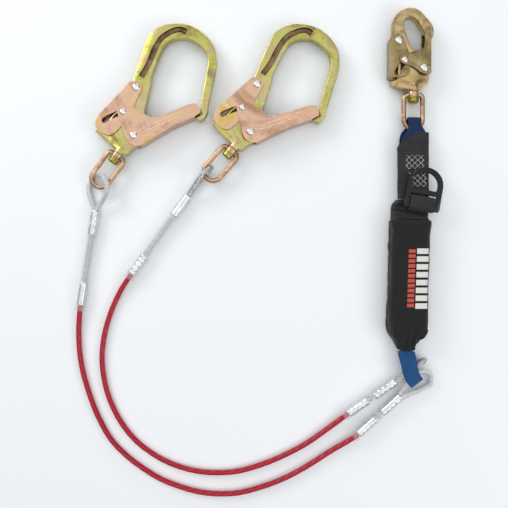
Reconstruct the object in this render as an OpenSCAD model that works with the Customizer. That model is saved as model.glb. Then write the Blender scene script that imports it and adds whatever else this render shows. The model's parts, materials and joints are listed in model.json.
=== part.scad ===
// Twin-leg shock absorbing lanyard, laid out flat on the plane z = 0.
// Each hook is drawn in its own frame: origin on the swivel axis at the hook's base,
// +Y towards the bowl, z = 0 in the middle plane of the forging.

/* [Hooks] */
// Thickness of the forged hook bodies
forging_t = 15; // [12:0.5:18]
// Thickness of the pressed gate and lock lever plates
plate_t = 1.8; // [1.2:0.1:2.4]
// Side gap between the forging, the lever and the gate
side_gap = 0.3; // [0.2:0.05:0.5]
// Diameter of the gate and lock rivets
rivet_d = 8; // [6:0.5:9]
// Diameter of the pin that runs in the cam slot
pin_d = 6.4; // [5:0.2:7]
// Height of a rivet head
head_h = 1.3; // [0.8:0.1:2]
// Radial running clearance on rivets and swivels
running_gap = 0.05; // [0.02:0.01:0.1]
// Clearance all round the pin in its slots
slot_gap = 0.7; // [0.4:0.1:1]
// Height of the large hook's bowl above its base
bowl_top = 210; // [200:1:260]
// Opening angle of the large hook's gate
gate_travel = 40; // [34:1:42]
// Press angle of the large hook's lock lever
lever_travel = 9; // [8:0.1:9.5]
// Opening angle of the snap hook's gate
snap_gate_travel = 32; // [24:1:33]
// Press angle of the snap hook's lock lever
snap_lever_travel = 11.2; // [9:0.1:11.5]

/* [Swivels] */
// Bar diameter of the swivel eye links
link_bar_d = 7.2; // [6:0.2:8]
// Width of a link, between the middles of its two sides
link_w = 28; // [24:1:34]
// Length of a large hook's link, from the base to the middle of its bottom bar
link_l = 68; // [60:1:76]
// Length of the snap hook's link, from the base to the middle of its bottom bar
snap_link_l = 64; // [58:1:72]
// Diameter of the swivel bolt
bolt_d = 8; // [6:0.5:9]
// Diameter of the swivel bolt's head
bolt_head_d = 16; // [13:0.5:18]

/* [Wire rope legs] */
// Diameter of the coated wire rope
rope_d = 8; // [6:0.5:9]
// Diameter of the covered rope eyes
eye_d = 7.6; // [6:0.2:8]
// Diameter of the swaged ferrules
ferrule_d = 13; // [11:0.5:14]
// Length of the ferrule beside the upper eyes
ferrule_l = 38; // [28:1:42]
// Wall of the clear sleeves
sleeve_wall = 1; // [0.6:0.1:1.5]

/* [Pack] */
// Width of the pack cover
pack_w = 63; // [56:1:76]
// Length of the pack cover's straight part
pack_l = 163; // [140:1:165]
// Thickness of the pack
pack_t = 32; // [26:1:38]
// Thickness of the cover's fabric
cover_wall = 1.5; // [1:0.1:2.5]
// Width of the sewn webbing above the pack
webbing_w = 44; // [38:1:50]
// Thickness of one layer of webbing
webbing_t = 1.8; // [1.2:0.1:2.2]
// Width of the D-ring
dring_w = 53; // [48:1:60]
// Thickness of the D-ring
dring_t = 6; // [4:0.5:7]

/* [Hidden] */
$fn = 48;
e = 0.01;

// The layout's middle, moved to the origin
layout_middle = [4.44, 42.04];

// Heights of the stacked side plates of a hook, from its middle plane
lever_z = forging_t / 2 + side_gap;
gate_z = lever_z + plate_t + side_gap;
gate_half = gate_z + plate_t;
hook_z = gate_half + head_h + 0.2;

zinc = [0.86, 0.80, 0.42];
bronze = [0.80, 0.62, 0.50];
steel = [0.80, 0.80, 0.80];
silver = [0.88, 0.88, 0.87];
crimson = [0.69, 0.09, 0.20];
black_fabric = [0.14, 0.14, 0.14];
blue_webbing = [0.13, 0.30, 0.55];

// ---------- curves and outlines ----------

function flip(p) = [for (i = [len(p) - 1:-1:0]) p[i]];

function sum_area(p) =
    let (n = len(p))
    [for (i = [0:n - 1]) p[i][0] * p[(i + 1) % n][1] - p[(i + 1) % n][0] * p[i][1]]
    * [for (i = [0:n - 1]) 1] / 2;

function anticlockwise(p) = sum_area(p) > 0 ? p : flip(p);

// Smooth curve through points, in steps pieces from each point to the next
function curve(p, steps = 3) =
    let (n = len(p))
    concat(
        [for (i = [0:n - 2], s = [0:steps - 1])
            let (
                t = s / steps,
                a = i == 0 ? 2 * p[0] - p[1] : p[i - 1],
                d = i == n - 2 ? 2 * p[n - 1] - p[n - 2] : p[i + 2])
            0.5 * (2 * p[i] + (p[i + 1] - a) * t
                + (2 * a - 5 * p[i] + 4 * p[i + 1] - d) * t * t
                + (3 * p[i] - a - 3 * p[i + 1] + d) * t * t * t)],
        [p[n - 1]]);

// Closed outline moved inwards by d
function inset(p, d) =
    let (n = len(p))
    [for (i = [0:n - 1])
        let (
            a = p[i] - p[(i + n - 1) % n],
            b = p[(i + 1) % n] - p[i],
            na = [-a[1], a[0]] / norm(a),
            nb = [-b[1], b[0]] / norm(b),
            m = (na + nb) / norm(na + nb))
        p[i] + m * d / max(0.8, m * na)];

// Twice the area of a triangle, positive when its corners run anticlockwise
function spread(a, b, c) = (b[0] - a[0]) * (c[1] - a[1]) - (b[1] - a[1]) * (c[0] - a[0]);

function is_ear(p, left, k) =
    let (
        n = len(left),
        a = p[left[(k + n - 1) % n]],
        b = p[left[k]],
        c = p[left[(k + 1) % n]])
    spread(a, b, c) > 0 && len([for (i = left) let (q = p[i])
        if (q != a && q != b && q != c && spread(a, b, q) >= 0 && spread(b, c, q) >= 0
            && spread(c, a, q) >= 0) 1]) == 0;

function first_ear(p, left, k = 0) =
    k >= len(left) ? 0 : is_ear(p, left, k) ? k : first_ear(p, left, k + 1);

// Triangles that fill an outline, found by cutting off one ear after another
function filled(p, left, done = []) =
    len(left) < 3 ? done :
    let (k = first_ear(p, left), n = len(left))
    filled(p, [for (i = [0:n - 1]) if (i != k) left[i]],
        concat(done, [[left[(k + n - 1) % n], left[k], left[(k + 1) % n]]]));

// Band of thickness t to the left of an open line
function strip(p, t) =
    let (n = len(p))
    concat(p, flip([for (i = [0:n - 1])
        let (
            v = p[min(i + 1, n - 1)] - p[max(i - 1, 0)],
            side = [-v[1], v[0]] / norm(v))
        p[i] + side * t]));

function spot(angle, r) = r * [cos(angle), sin(angle)];

function turned(p, angle) =
    [p[0] * cos(angle) - p[1] * sin(angle), p[0] * sin(angle) + p[1] * cos(angle)];

// Outline of half width r round an open line, with round ends
function sausage(p, r) =
    let (
        n = len(p),
        side = [for (i = [0:n - 1])
            let (v = p[min(i + 1, n - 1)] - p[max(i - 1, 0)])
            atan2(v[1], v[0])])
    concat(
        [for (i = [0:n - 1]) p[i] + spot(side[i] - 90, r)],
        [for (a = [-72:18:72]) p[n - 1] + spot(side[n - 1] + a, r)],
        [for (i = [n - 1:-1:0]) p[i] + spot(side[i] + 90, r)],
        [for (a = [108:18:252]) p[0] + spot(side[0] + a, r)]);

// ---------- general solids ----------

module plate(outline, z0, t) {
    translate([0, 0, z0])
        linear_extrude(t)
            polygon(outline);
}

module two_plates(outline, z0, t) {
    plate(outline, z0, t);
    plate(outline, -z0 - t, t);
}

module along_z(at, r, half) {
    translate([at[0], at[1], -half])
        cylinder(r = r, h = 2 * half);
}

// Slab of thickness t with its rims rounded to r all round
module forged(outline, t, r) {
    p = anticlockwise(outline);
    n = len(p);
    steps = [for (a = [0, 45, 90]) [t / 2 - r + r * sin(a), r * (1 - cos(a))]];
    levels = concat([for (s = flip(steps)) [-s[0], s[1]]], steps);
    points = [for (l = levels) for (q = inset(p, l[1])) [q[0], q[1], l[0]]];
    last = (len(levels) - 1) * n;
    cap = filled(inset(p, r), [for (i = [0:n - 1]) i]);
    sides = [for (k = [0:len(levels) - 2], i = [0:n - 1])
        [k * n + i, (k + 1) * n + i, (k + 1) * n + (i + 1) % n, k * n + (i + 1) % n]];
    polyhedron(points, concat(sides, cap, [for (f = cap) [for (i = flip(f)) last + i]]),
        convexity = 10);
}

// Round tube of diameter d swept through points
module tube(p, d, sides = 10) {
    n = len(p);
    tangents = [for (i = [0:n - 1])
        let (v = p[min(i + 1, n - 1)] - p[max(i - 1, 0)]) v / norm(v)];
    frames = [for (
        i = 0, u = across(tangents[0], [0, 0, 1]);
        i < n;
        i = i + 1, u = i < n ? carried(u, tangents[i]) : u) u];
    points = [for (i = [0:n - 1], k = [0:sides - 1])
        let (v = cross(tangents[i], frames[i]), a = 360 * k / sides)
        p[i] + d / 2 * (cos(a) * frames[i] + sin(a) * v)];
    skin = [for (i = [0:n - 2], k = [0:sides - 1])
        let (a = i * sides + k, b = i * sides + (k + 1) % sides)
        each [[a, a + sides, b + sides], [a, b + sides, b]]];
    first = [for (k = [0:sides - 1]) k];
    last = [for (k = [sides - 1:-1:0]) (n - 1) * sides + k];
    polyhedron(points, concat(skin, [first], [last]), convexity = 10);
}

function across(v, up) = let (c = cross(v, up)) c / norm(c);

// Side direction u made square to the tangent v again
function carried(u, v) = let (w = u - (u * v) * v) w / norm(w);

// Flat webbing of thickness t through stations [middle, half width vector]
module ribbon(stations, t) {
    n = len(stations);
    points = [for (i = [0:n - 1])
        let (
            c = stations[i][0],
            w = stations[i][1],
            v = stations[min(i + 1, n - 1)][0] - stations[max(i - 1, 0)][0],
            up = cross(w, v) / norm(cross(w, v)) * t / 2)
        each [c - w - up, c + w - up, c + w + up, c - w + up]];
    skin = [for (i = [0:n - 2], k = [0:3])
        let (a = 4 * i + k, b = 4 * i + (k + 1) % 4)
        each [[a, a + 4, b + 4], [a, b + 4, b]]];
    polyhedron(points, concat(skin, [[0, 1, 2, 3]],
        [[4 * n - 1, 4 * n - 2, 4 * n - 3, 4 * n - 4]]), convexity = 10);
}

module rivet(at, d, half) {
    along_z(at, d / 2, half);
    for (side = [0, 1])
        mirror([0, 0, side])
            translate([at[0], at[1], half])
                cylinder(r1 = d / 2 + 1.6, r2 = d / 2, h = head_h);
}

// Torsion spring round a rivet: close coils and one straight leg at each end
// Helix about +Z from angle a0 to a1, with a straight leg off each end
module torsion_spring(at, inner_d, wire, pitch, a0, a1) {
    r = inner_d / 2 + wire / 2;
    steps = round((a1 - a0) / 36);
    height = pitch * (a1 - a0) / 360;
    turns = [for (i = [0:steps])
        let (a = a0 + (a1 - a0) * i / steps)
        [r * cos(a), r * sin(a), height * (i / steps - 0.5)]];
    first = turns[0] + 2.4 * [sin(a0), -cos(a0), 0];
    last = turns[steps] + 2.4 * [-sin(a1), cos(a1), 0];
    translate([at[0], at[1], 0])
        tube(concat([first], turns, [last]), wire, 6);
}

// ---------- large hook ----------

gate_pivot = [4.5, 26];
lock_pivot = [-34.5, 86];
gate_pin_at = [-28.5, 45];
large_rim = 1.8;
stretch = bowl_top - 210;

large_outline = concat(
    curve([[63.2, 100.5], [71, 102], [74, 108.5], [72.5, 119], [68.5, 125]]),
    curve([[52.5, 161 + stretch], [46, 176 + stretch], [38.5, 188.5 + stretch],
        [25, 202 + stretch], [11.5, 208 + stretch], [-2, 210.4 + stretch],
        [-16, 210 + stretch], [-29, 206.5 + stretch], [-41, 200 + stretch],
        [-52, 191 + stretch], [-60, 180 + stretch], [-64.5, 168 + stretch],
        [-65, 155 + stretch], [-61, 139.5]]),
    [[-47, 96]],
    curve([[-44, 88], [-42, 78], [-40, 58], [-39.5, 40]], 2),
    [[-39.5, 7]],
    curve([[-42, 4], [-46.5, 2.5], [-47, -1.5], [-38, -3.5], [-26, -5.2]], 2),
    [[9.5, -5.5], [12.8, -1]],
    curve([[14, 9], [17.5, 17], [18.5, 25], [16.5, 33], [10, 43], [2, 53], [-4, 64]], 2),
    curve([[-20.5, 102], [-23.5, 108], [-27.5, 114], [-31.5, 128.5], [-35.5, 145.5]], 2),
    curve([[-38, 159 + stretch], [-36.5, 168.5 + stretch], [-31, 178.5 + stretch],
        [-21.5, 187 + stretch], [-9.5, 191.8 + stretch], [4, 192.8 + stretch],
        [16, 190 + stretch], [24.5, 184.5 + stretch], [31, 176.5 + stretch],
        [39, 160 + stretch]]),
    curve([[57.5, 122], [61.5, 115.5], [67, 111.7]], 2));

large_gate_edge = [[21.8, 19.5], [31.7, 43.8], [44, 71], [60.7, 99], [64.9, 110.6]];
large_gate_outline = concat(
    large_gate_edge,
    curve([[63, 113.5], [53.5, 118], [48, 115.5], [40, 105.3]]),
    [[32.6, 92.4]],
    curve([[20.4, 73.9], [13.5, 65.5], [7.5, 62], [-1, 61.5], [-9, 61], [-21, 58.3],
        [-31, 54.2], [-36.5, 49.5], [-38.8, 44.5], [-36, 40.5]]),
    [[-18.5, 26.7]],
    curve([[-4, 16.3], [3, 13.2], [10, 12.8], [16.5, 14.8]]));

large_lever_edge = [[-53.8, 9.5], [-56, 18.4], [-47.4, 85.5]];
large_lever_outline = concat(
    large_lever_edge,
    curve([[-46.4, 88.5], [-40, 92.8], [-32.6, 94], [-27, 91.4], [-24.6, 84.7]]),
    curve([[-23.3, 73.5], [-19.6, 58], [-17.4, 42], [-18.4, 26.7], [-21, 10.5]], 2),
    curve([[-24.5, 5], [-31.7, 2], [-40.6, 1.2], [-48.6, 3.4]]));

// ---------- snap hook ----------

snap_gate_pivot = [14, 24.4];
snap_lock_pivot = [-23, 65.8];
snap_pin_at = [-14.7, 36.3];
snap_rim = 1.2;

snap_outline = concat(
    curve([[24.6, 70.2], [28, 71], [29, 79], [27.8, 86.5], [23.7, 93.7], [17.4, 101],
        [10, 109], [1.6, 114.2], [-7, 115.2], [-16, 112.8], [-24.7, 106.8], [-30.5, 98],
        [-32, 87.4]], 2),
    curve([[-31.5, 73], [-29, 62], [-25.5, 52], [-24.5, 42]], 2),
    [[-24.5, 11]],
    curve([[-27, 7.5], [-34, 5.3], [-33.5, 1], [-30, -1.6], [-20, -4.2]], 2),
    [[-9, -6.3], [10, -5.8]],
    curve([[19, 1], [21.6, 8], [21.3, 16], [21.2, 25], [18, 33], [9, 42], [-1, 52]], 2),
    curve([[-6.8, 62], [-13, 79], [-15.2, 89.5], [-14, 97], [-10, 100.8], [-4.7, 102],
        [0.6, 100], [6, 94], [10, 87.4], [14.5, 79], [18, 76]], 2),
    [[24.4, 76.4]]);

snap_gate_edge = [[23.9, 17], [23.9, 73]];
snap_gate_outline = concat(
    snap_gate_edge,
    curve([[23.9, 83], [22, 86], [17.5, 86], [15.2, 83.5]], 2),
    [[14.5, 60]],
    curve([[13.5, 55], [10, 52], [3.7, 50.3], [-5.7, 47.4], [-17.3, 44.2], [-21.6, 41],
        [-23, 36.3], [-18.4, 30.7]]),
    [[-3, 26.2]],
    curve([[4, 21.5], [9, 17.5], [14, 15.4], [19, 15.2]]));

snap_lever_edge = [[-37.3, 12], [-37.3, 66]];
snap_lever_outline = concat(
    snap_lever_edge,
    curve([[-36.2, 70.2], [-31, 73.4], [-24, 74.4], [-18.8, 72.6], [-15.4, 67.4]]),
    curve([[-11, 53.7], [-7.8, 45], [-6.4, 32], [-7.3, 18]], 2),
    curve([[-11, 13.7], [-21.5, 11.2], [-30, 10.3], [-35.6, 10.3]], 2));

// ---------- parts that the three hooks share ----------

// Path of the gate pin in the forging's frame, over the gate's travel and a margin
function pin_arc(pivot, pin, travel, margin = 2) =
    [for (i = [0:8]) pivot + turned(pin - pivot, -margin + (travel + 2 * margin) * i / 8)];

// The same path in the lever's frame, while the lever turns in step with the gate
function cam_path(pivot, pin, travel, lever_pivot, lever_angle, margin = 2) =
    [for (i = [0:8])
        let (g = -margin + (travel + 2 * margin) * i / 8)
        lever_pivot + turned(pivot + turned(pin - pivot, g) - lever_pivot,
            -g * lever_angle / travel)];

module hook_body(outline, rim, pivot, pin, travel, lever_pivot) {
    color(zinc)
        difference() {
            union() {
                forged(outline, forging_t, rim);
                swivel_boss();
            }
            along_z(pivot, rivet_d / 2, forging_t);
            along_z(lever_pivot, rivet_d / 2, forging_t);
            along_z(pivot, spring_pocket_r, spring_pocket_half);
            along_z(lever_pivot, spring_pocket_r, spring_pocket_half);
            plate(sausage(pin_arc(pivot, pin, travel), pin_d / 2 + slot_gap),
                -forging_t, 2 * forging_t);
            translate([0, -12, 0])
                rotate([-90, 0, 0])
                    cylinder(d = bolt_d, h = 12);
        }
}

spring_wire = 1.5;
spring_pitch = spring_wire + 0.15;
spring_pocket_r = rivet_d / 2 + 0.4 + spring_wire + 0.8;
spring_pocket_half = 1.75 * spring_pitch + spring_wire / 2 + 0.3;

module swivel_boss() {
    rotate([-90, 0, 0])
        rotate_extrude()
            polygon(concat([[0, -9]], [[8.2, -9], [9, -8.2]],
                [for (a = [0:15:90]) [9 * cos(a), -2 + 8 * sin(a)]]));
}

module gate(outline, edge, pivot, pin) {
    color(bronze)
        difference() {
            union() {
                two_plates(outline, gate_z, plate_t);
                plate(strip(edge, plate_t), -gate_half + e, 2 * gate_half - 2 * e);
            }
            along_z(pivot, rivet_d / 2 + running_gap, 2 * gate_half);
            along_z(pin, pin_d / 2, 2 * gate_half);
        }
}

module lock_lever(outline, edge, lever_pivot, path) {
    color(bronze)
        difference() {
            union() {
                two_plates(outline, lever_z, plate_t);
                plate(strip(flip(edge), plate_t), -lever_z - plate_t + e,
                    2 * (lever_z + plate_t - e));
            }
            along_z(lever_pivot, rivet_d / 2 + running_gap, 2 * gate_half);
            plate(sausage(path, pin_d / 2 + slot_gap), -2 * gate_half, 4 * gate_half);
        }
}

module gate_rivet(pivot) {
    color(steel) rivet(pivot, rivet_d, gate_half + 0.1);
}

module lock_rivet(lever_pivot) {
    color(steel) rivet(lever_pivot, rivet_d, lever_z + plate_t + 0.1);
}

module gate_pin(pin) {
    color(steel) rivet(pin, pin_d, gate_half);
}

module hook_spring(at, angles) {
    color(steel)
        torsion_spring(at, rivet_d + 0.8, spring_wire, spring_pitch, angles[0],
            angles[0] + 1260);
}

boss_end = -9;
link_top = boss_end - link_bar_d / 2 - 0.4;
head_start = -link_top + link_bar_d / 2 + 0.3;

module swivel_bolt() {
    color(zinc)
        rotate([90, 0, 0])
            rotate_extrude()
                polygon([[0, 0], [bolt_d / 2, 0], [bolt_d / 2, head_start],
                    [bolt_head_d / 2 + 1, head_start],
                    [bolt_head_d / 2 + 1, head_start + 1.5],
                    [bolt_head_d / 2, head_start + 1.5],
                    [bolt_head_d / 2, head_start + 7],
                    [bolt_head_d / 2 - 2, head_start + 9], [0, head_start + 9]]);
}

module swivel_eye(length) {
    corner = 6;
    half = link_w / 2;
    r = link_bar_d / 2;
    color(bronze)
        difference() {
            union() {
                translate([0, -length + half, 0])
                    rotate(180)
                        rotate_extrude(angle = 180)
                            translate([half, 0])
                                circle(r = r);
                for (side = [-1, 1]) {
                    translate([side * half, link_top - corner, 0])
                        rotate([90, 0, 0])
                            cylinder(r = r, h = length - half + link_top - corner);
                    translate([side * (half - corner), link_top - corner, 0])
                        rotate(side > 0 ? 0 : 90)
                            rotate_extrude(angle = 90)
                                translate([corner, 0])
                                    circle(r = r);
                }
                translate([-half + corner, link_top, 0])
                    rotate([0, 90, 0])
                        cylinder(r = r, h = link_w - 2 * corner);
                translate([0, boss_end - 0.3, 0])
                    rotate([90, 0, 0])
                        cylinder(r = 8.6, h = head_start + boss_end - 0.6);
            }
            rotate([90, 0, 0])
                cylinder(r = bolt_d / 2 + running_gap, h = 30);
        }
}

// ---------- wire rope legs ----------

left_rope = [
    [-263.5, -93, 6.5], [-265, -110, 5], [-265, -131, 4.2], [-263, -156, 4.2],
    [-258, -182, 4.2], [-251, -206, 4.2], [-243, -229, 4.2], [-233, -252, 4.2],
    [-216, -281, 4.2], [-194, -304, 4.2], [-171, -322, 4.2], [-142, -340, 4.2],
    [-112, -352, 4.2], [-83, -360, 4.2], [-53, -363, 4.2], [-21, -361, 4.2], [16, -351, 4.2],
    [49, -338, 4.2], [82, -320, 4.2], [115, -299, 4.2], [138, -285, 5.8]];
right_rope = [
    [-194.5, -44, 6.5], [-202, -56, 5], [-210, -72, 4.2], [-218, -92, 4.2],
    [-225, -116, 4.2], [-229, -140, 4.2], [-230, -160, 4.2], [-228, -182, 4.2],
    [-223, -206, 4.2], [-215, -228, 4.2], [-204, -250, 4.2], [-189, -271, 4.2],
    [-170, -290, 4.2], [-142, -309, 4.2], [-112, -322, 4.2], [-83, -329, 4.2],
    [-53, -331, 4.2], [-21, -328, 4.2], [16, -317, 4.2], [49, -303, 4.2], [82, -285, 4.2],
    [118, -259, 5.5]];

// Where the rope's two clamped ends lie: position, heading of the eye from +X, and the gap
// between the two ferrules
left_upper_end = [-239, 66, 81, 72];
right_upper_end = [-99, 88, 54, 73];
left_lower_end = [221, -214, 42, 13];
right_lower_end = [213, -192, 34.5, 13];
end_z = 7.7;
rope_ferrule_l = 35;

module at_end(end) {
    translate([end[0], end[1], end_z])
        rotate(end[2])
            rotate([0, -90, 0])
                children();
}

module ferrules(end) {
    color(silver)
        at_end(end)
            for (start = [0, ferrule_l + end[3]])
                translate([0, 0, start])
                    cylinder(d = ferrule_d, h = start == 0 ? ferrule_l : rope_ferrule_l);
}

module sleeve(end) {
    far = ferrule_l + end[3] + rope_ferrule_l + 8;
    inner = ferrule_d / 2;
    color([0.9, 0.9, 0.9, 0.4])
        at_end(end)
            rotate_extrude()
                polygon([[inner, 2], [inner + sleeve_wall, 2], [inner + sleeve_wall, far - 8],
                    [inner + sleeve_wall + 0.2, far], [inner + 0.2, far], [inner, far - 8]]);
}

// A point on the rope's axis, out from the far face of its inner ferrule
function rope_exit(end, out) =
    let (l = ferrule_l + end[3] + rope_ferrule_l + out)
    [end[0] - l * cos(end[2]), end[1] - l * sin(end[2]), end_z];

function rope_route(upper, middle, lower) =
    concat([rope_exit(upper, 0.05)],
        curve(concat([rope_exit(upper, 5)], middle, [rope_exit(lower, 5)]), 2),
        [rope_exit(lower, 0.05)]);

// An eye leaves its ferrule's face, follows the middle points and comes back to the face.
// lean is how far its two strands are turned about the rope's axis: 0 flat, 90 on edge.
function eye_route(end, middle, lean) =
    let (
        heading = [cos(end[2]), sin(end[2]), 0],
        offset = (eye_d / 2 + 0.1)
            * [-sin(end[2]) * cos(lean), cos(end[2]) * cos(lean), -sin(lean)],
        face = [end[0], end[1], end_z] + 0.1 * heading)
    concat([face + offset],
        curve(concat([face + offset + 3 * heading], middle, [face - offset + 3 * heading]), 2),
        [face - offset]);

left_upper_middle = [
    [-247, 84, 5.2], [-250, 95, 4], [-249, 105, 4], [-244, 112, 4.6], [-238.5, 116, 6.5],
    [-232, 118, 11], [-226, 116.5, 17], [-220.5, 110.5, 21.2], [-218, 102, 21.8],
    [-220, 91, 20], [-226, 81, 14.5]];
right_upper_middle = [
    [-88, 103, 3.9], [-81, 112.5, 3.9], [-75, 119.5, 3.9], [-69, 125, 5.4],
    [-64.8, 128.6, 9], [-63.6, 129.8, 13.2], [-64.8, 128.6, 17.6], [-69, 125, 21.3],
    [-75, 119.5, 22.6], [-81, 112.5, 21.6], [-88, 103, 17.5]];
left_lower_middle = [
    [263, -199, 5], [267, -190, 6.5], [265, -181.5, 9.5], [257, -176, 12.8],
    [247, -177, 14], [238, -183, 13.9], [231, -193, 12.3]];
right_lower_middle = [
    [225, -183, 3.9], [235, -175, 3.9], [245, -167, 3.9], [253, -161.5, 4.8],
    [257.5, -159, 9.8], [253, -161.5, 15], [245, -167, 16.2], [235, -175, 16.2],
    [225, -183, 14]];

module rope_eye(end, middle, lean) {
    color(silver)
        tube(eye_route(end, middle, lean), eye_d);
}

// ---------- pack and webbing ----------

pack_top = [233.5, 51];
pack_tilt = -1.9;
neck_l = 33;
neck_w = 26;
neck_t = 17;

module in_pack() {
    translate([pack_top[0], pack_top[1], 0])
        rotate(pack_tilt)
            children();
}

// Cross-section of the cover: flat underneath, rounded above
module cover_section(w, t, r) {
    translate([0, t / 2])
        intersection() {
            square([w, t], center = true);
            union() {
                translate([0, -r / 2])
                    square([w, t - r], center = true);
                translate([0, t / 2 - r])
                    square([w - 2 * r, 2 * r], center = true);
                for (side = [-1, 1])
                    translate([side * (w / 2 - r), t / 2 - r])
                        circle(r);
            }
        }
}

module pack_cover() {
    r = 9;
    color(black_fabric)
        in_pack()
            difference() {
                union() {
                    translate([0, 0, 0])
                        rotate([90, 0, 0])
                            linear_extrude(pack_l)
                                cover_section(pack_w, pack_t, r);
                    hull() {
                        translate([0, -pack_l + e, 0])
                            rotate([90, 0, 0])
                                linear_extrude(0.5)
                                    cover_section(pack_w, pack_t, r);
                        translate([0, -pack_l - neck_l + 0.5, 4])
                            rotate([90, 0, 0])
                                linear_extrude(0.5)
                                    cover_section(neck_w, neck_t, 6);
                    }
                }
                translate([0, -5, cover_wall])
                    rotate([90, 0, 0])
                        linear_extrude(pack_l - 10)
                            cover_section(pack_w - 2 * cover_wall, pack_t - 2 * cover_wall,
                                r - cover_wall);
            }
}

module tear_webbing() {
    layers = 9;
    pitch = 2.6;
    length = pack_l - 26;
    color(blue_webbing)
        in_pack()
            translate([0, -13, cover_wall + 2])
                for (i = [0:layers - 1]) {
                    translate([-webbing_w / 2, -length, i * pitch])
                        cube([webbing_w, length, webbing_t]);
                    if (i < layers - 1)
                        translate([-webbing_w / 2, i % 2 == 0 ? -webbing_t : -length,
                            i * pitch + webbing_t - e])
                            cube([webbing_w, webbing_t, pitch - webbing_t + 2 * e]);
                }
}

flap_l = 31;
flap_w = 54;

module pack_flap() {
    color(black_fabric)
        in_pack()
            translate([-flap_w / 2 + 2, 0, 0])
                rotate([90, 0, 90])
                    linear_extrude(flap_w)
                        polygon(concat([[0, 1]], curve([[0, 30.5], [4, 26], [8, 21], [13, 19],
                            [flap_l - 1, 18]], 2), [[flap_l, 17], [flap_l, 3]]));
}

strap_z0 = 2.5;
strap_t = 16.5;
strap_top = 176;

module upper_webbing() {
    color(black_fabric)
        translate([238, 0, strap_z0])
            difference() {
                linear_extrude(strap_t)
                    polygon([[-webbing_w / 2 + 1, 83.6], [webbing_w / 2, 83.6],
                        [webbing_w / 2, strap_top + 5], [2, strap_top + 5],
                        [-webbing_w / 2 + 4, strap_top - 9], [-webbing_w / 2, strap_top - 14]]);
                for (z = [front_z, back_z])
                    translate([-20, strap_top - 24, z - webbing_t / 2 - 0.2 - strap_z0])
                        cube([40, 60, webbing_t + 0.4]);
                translate([-30, strap_top - 2, 7])
                    cube([60, 20, 6]);
            }
}

front_z = hook_z + link_bar_d / 2 + 0.5 + webbing_t / 2;
back_z = hook_z - link_bar_d / 2 - 0.5 - webbing_t / 2;

module top_loop() {
    bend = (front_z - back_z) / 2;
    y0 = strap_top - 23;
    apex = 205 - webbing_t / 2 - bend;
    color([0.10, 0.20, 0.38])
        ribbon(concat(
            [[[238, y0, front_z], [18, 0, 0]], [[238.5, y0 + 18, front_z], [18, 0, 0]],
                [[241.5, 182, front_z], [14, 0, 0]], [[240.5, 190, front_z], [10.5, 0, 0]]],
            [for (a = [90:-22.5:-90])
                [[239, apex + bend * cos(a), hook_z + bend * sin(a)], [9.2, 0, 0]]],
            [[[237.5, 190, back_z], [9.2, 0, 0]], [[236, 182, back_z], [14, 0, 0]],
                [[237, y0 + 18, back_z], [18, 0, 0]], [[238, y0, back_z], [18, 0, 0]]]),
            webbing_t);
}

module bottom_loop() {
    color(blue_webbing)
        ribbon([
            [[228.2, -145.7, 17], [11.5, 0, 0]], [[229, -152, 19.5], [11.8, 0, 0]],
            [[230, -160, 21.4], [12, 0.3, 0]], [[231.5, -170, 21.6], [12, 1, 0]],
            [[233.5, -178, 21.4], [11.5, 2.5, 0]], [[237.5, -186, 20], [10.5, 5, 0]],
            [[242, -191.5, 17.5], [9.4, 6.4, 0]], [[244.5, -194, 13], [8.8, 6.6, 0]],
            [[243.5, -192, 8.5], [9.2, 6.4, 0]], [[240.5, -187, 6.9], [9.4, 5.4, 0]],
            [[237, -180, 9.1], [9.8, 3.4, 0]], [[234, -172, 10], [11, 2, 0]],
            [[231, -160, 10], [11.6, 0.6, 0]], [[229, -152, 9.8], [11.8, 0, 0]],
            [[228.2, -145.7, 9.6], [11.5, 0, 0]]], webbing_t);
}

// D-ring: an arch over a cross bar, with a slot for its keeper above the hinge bar
dring_at = [247, 68, 25.6];
dring_heading = -10;
dring_slope = 2;
dring_leg = 7;
dring_arch_y = 34;

module in_dring() {
    translate(dring_at)
        rotate(dring_heading)
            rotate([-dring_slope, 0, 0])
                children();
}

module d_ring() {
    half = dring_w / 2;
    color(black_fabric)
        in_dring()
            union() {
                difference() {
                    union() {
                        translate([0, dring_arch_y, -dring_t / 2])
                            cylinder(r = half, h = dring_t);
                        translate([-half, 0, -dring_t / 2])
                            cube([dring_w, dring_arch_y, dring_t]);
                    }
                    intersection() {
                        translate([0, dring_arch_y, -dring_t])
                            cylinder(r = half - dring_leg, h = 2 * dring_t);
                        translate([-half, 27, -dring_t])
                            cube([dring_w, dring_w, 2 * dring_t]);
                    }
                    translate([-half + dring_leg, -dring_t, -dring_t])
                        cube([dring_w - 2 * dring_leg, 20 + dring_t, 2 * dring_t]);
                }
                translate([-half + 1, 0, 0])
                    rotate([0, 90, 0])
                        cylinder(d = dring_t, h = dring_w - 2);
            }
}

module d_ring_keeper() {
    r = dring_t / 2 + 0.3;
    half = dring_w / 2 - dring_leg - 1;
    color(black_fabric)
        in_dring()
            translate([-half, 0, 0])
                rotate([90, 0, 90])
                    linear_extrude(2 * half)
                        polygon(strip(concat(
                            [[17.6, -r - 0.3], [16.6, -r + 3], [13.5, r]],
                            [for (a = [90:22.5:270]) spot(a, r)],
                            [[9, -r]]), -webbing_t));
}

// ---------- placing ----------

left_hook_at = [-197.5, 157.5, -36];
right_hook_at = [-25.5, 164.5, -41];
snap_hook_at = [238.5, 251.5, 0];

module laid_out() {
    translate([-layout_middle[0], -layout_middle[1], 0])
        children();
}

module at_hook(at) {
    laid_out()
        translate([at[0], at[1], hook_z])
            rotate(at[2])
                children();
}

module large_hook_body(at) {
    at_hook(at) hook_body(large_outline, large_rim, gate_pivot, gate_pin_at, gate_travel,
        lock_pivot);
}

module large_gate(at) {
    at_hook(at) gate(large_gate_outline, large_gate_edge, gate_pivot, gate_pin_at);
}

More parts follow.
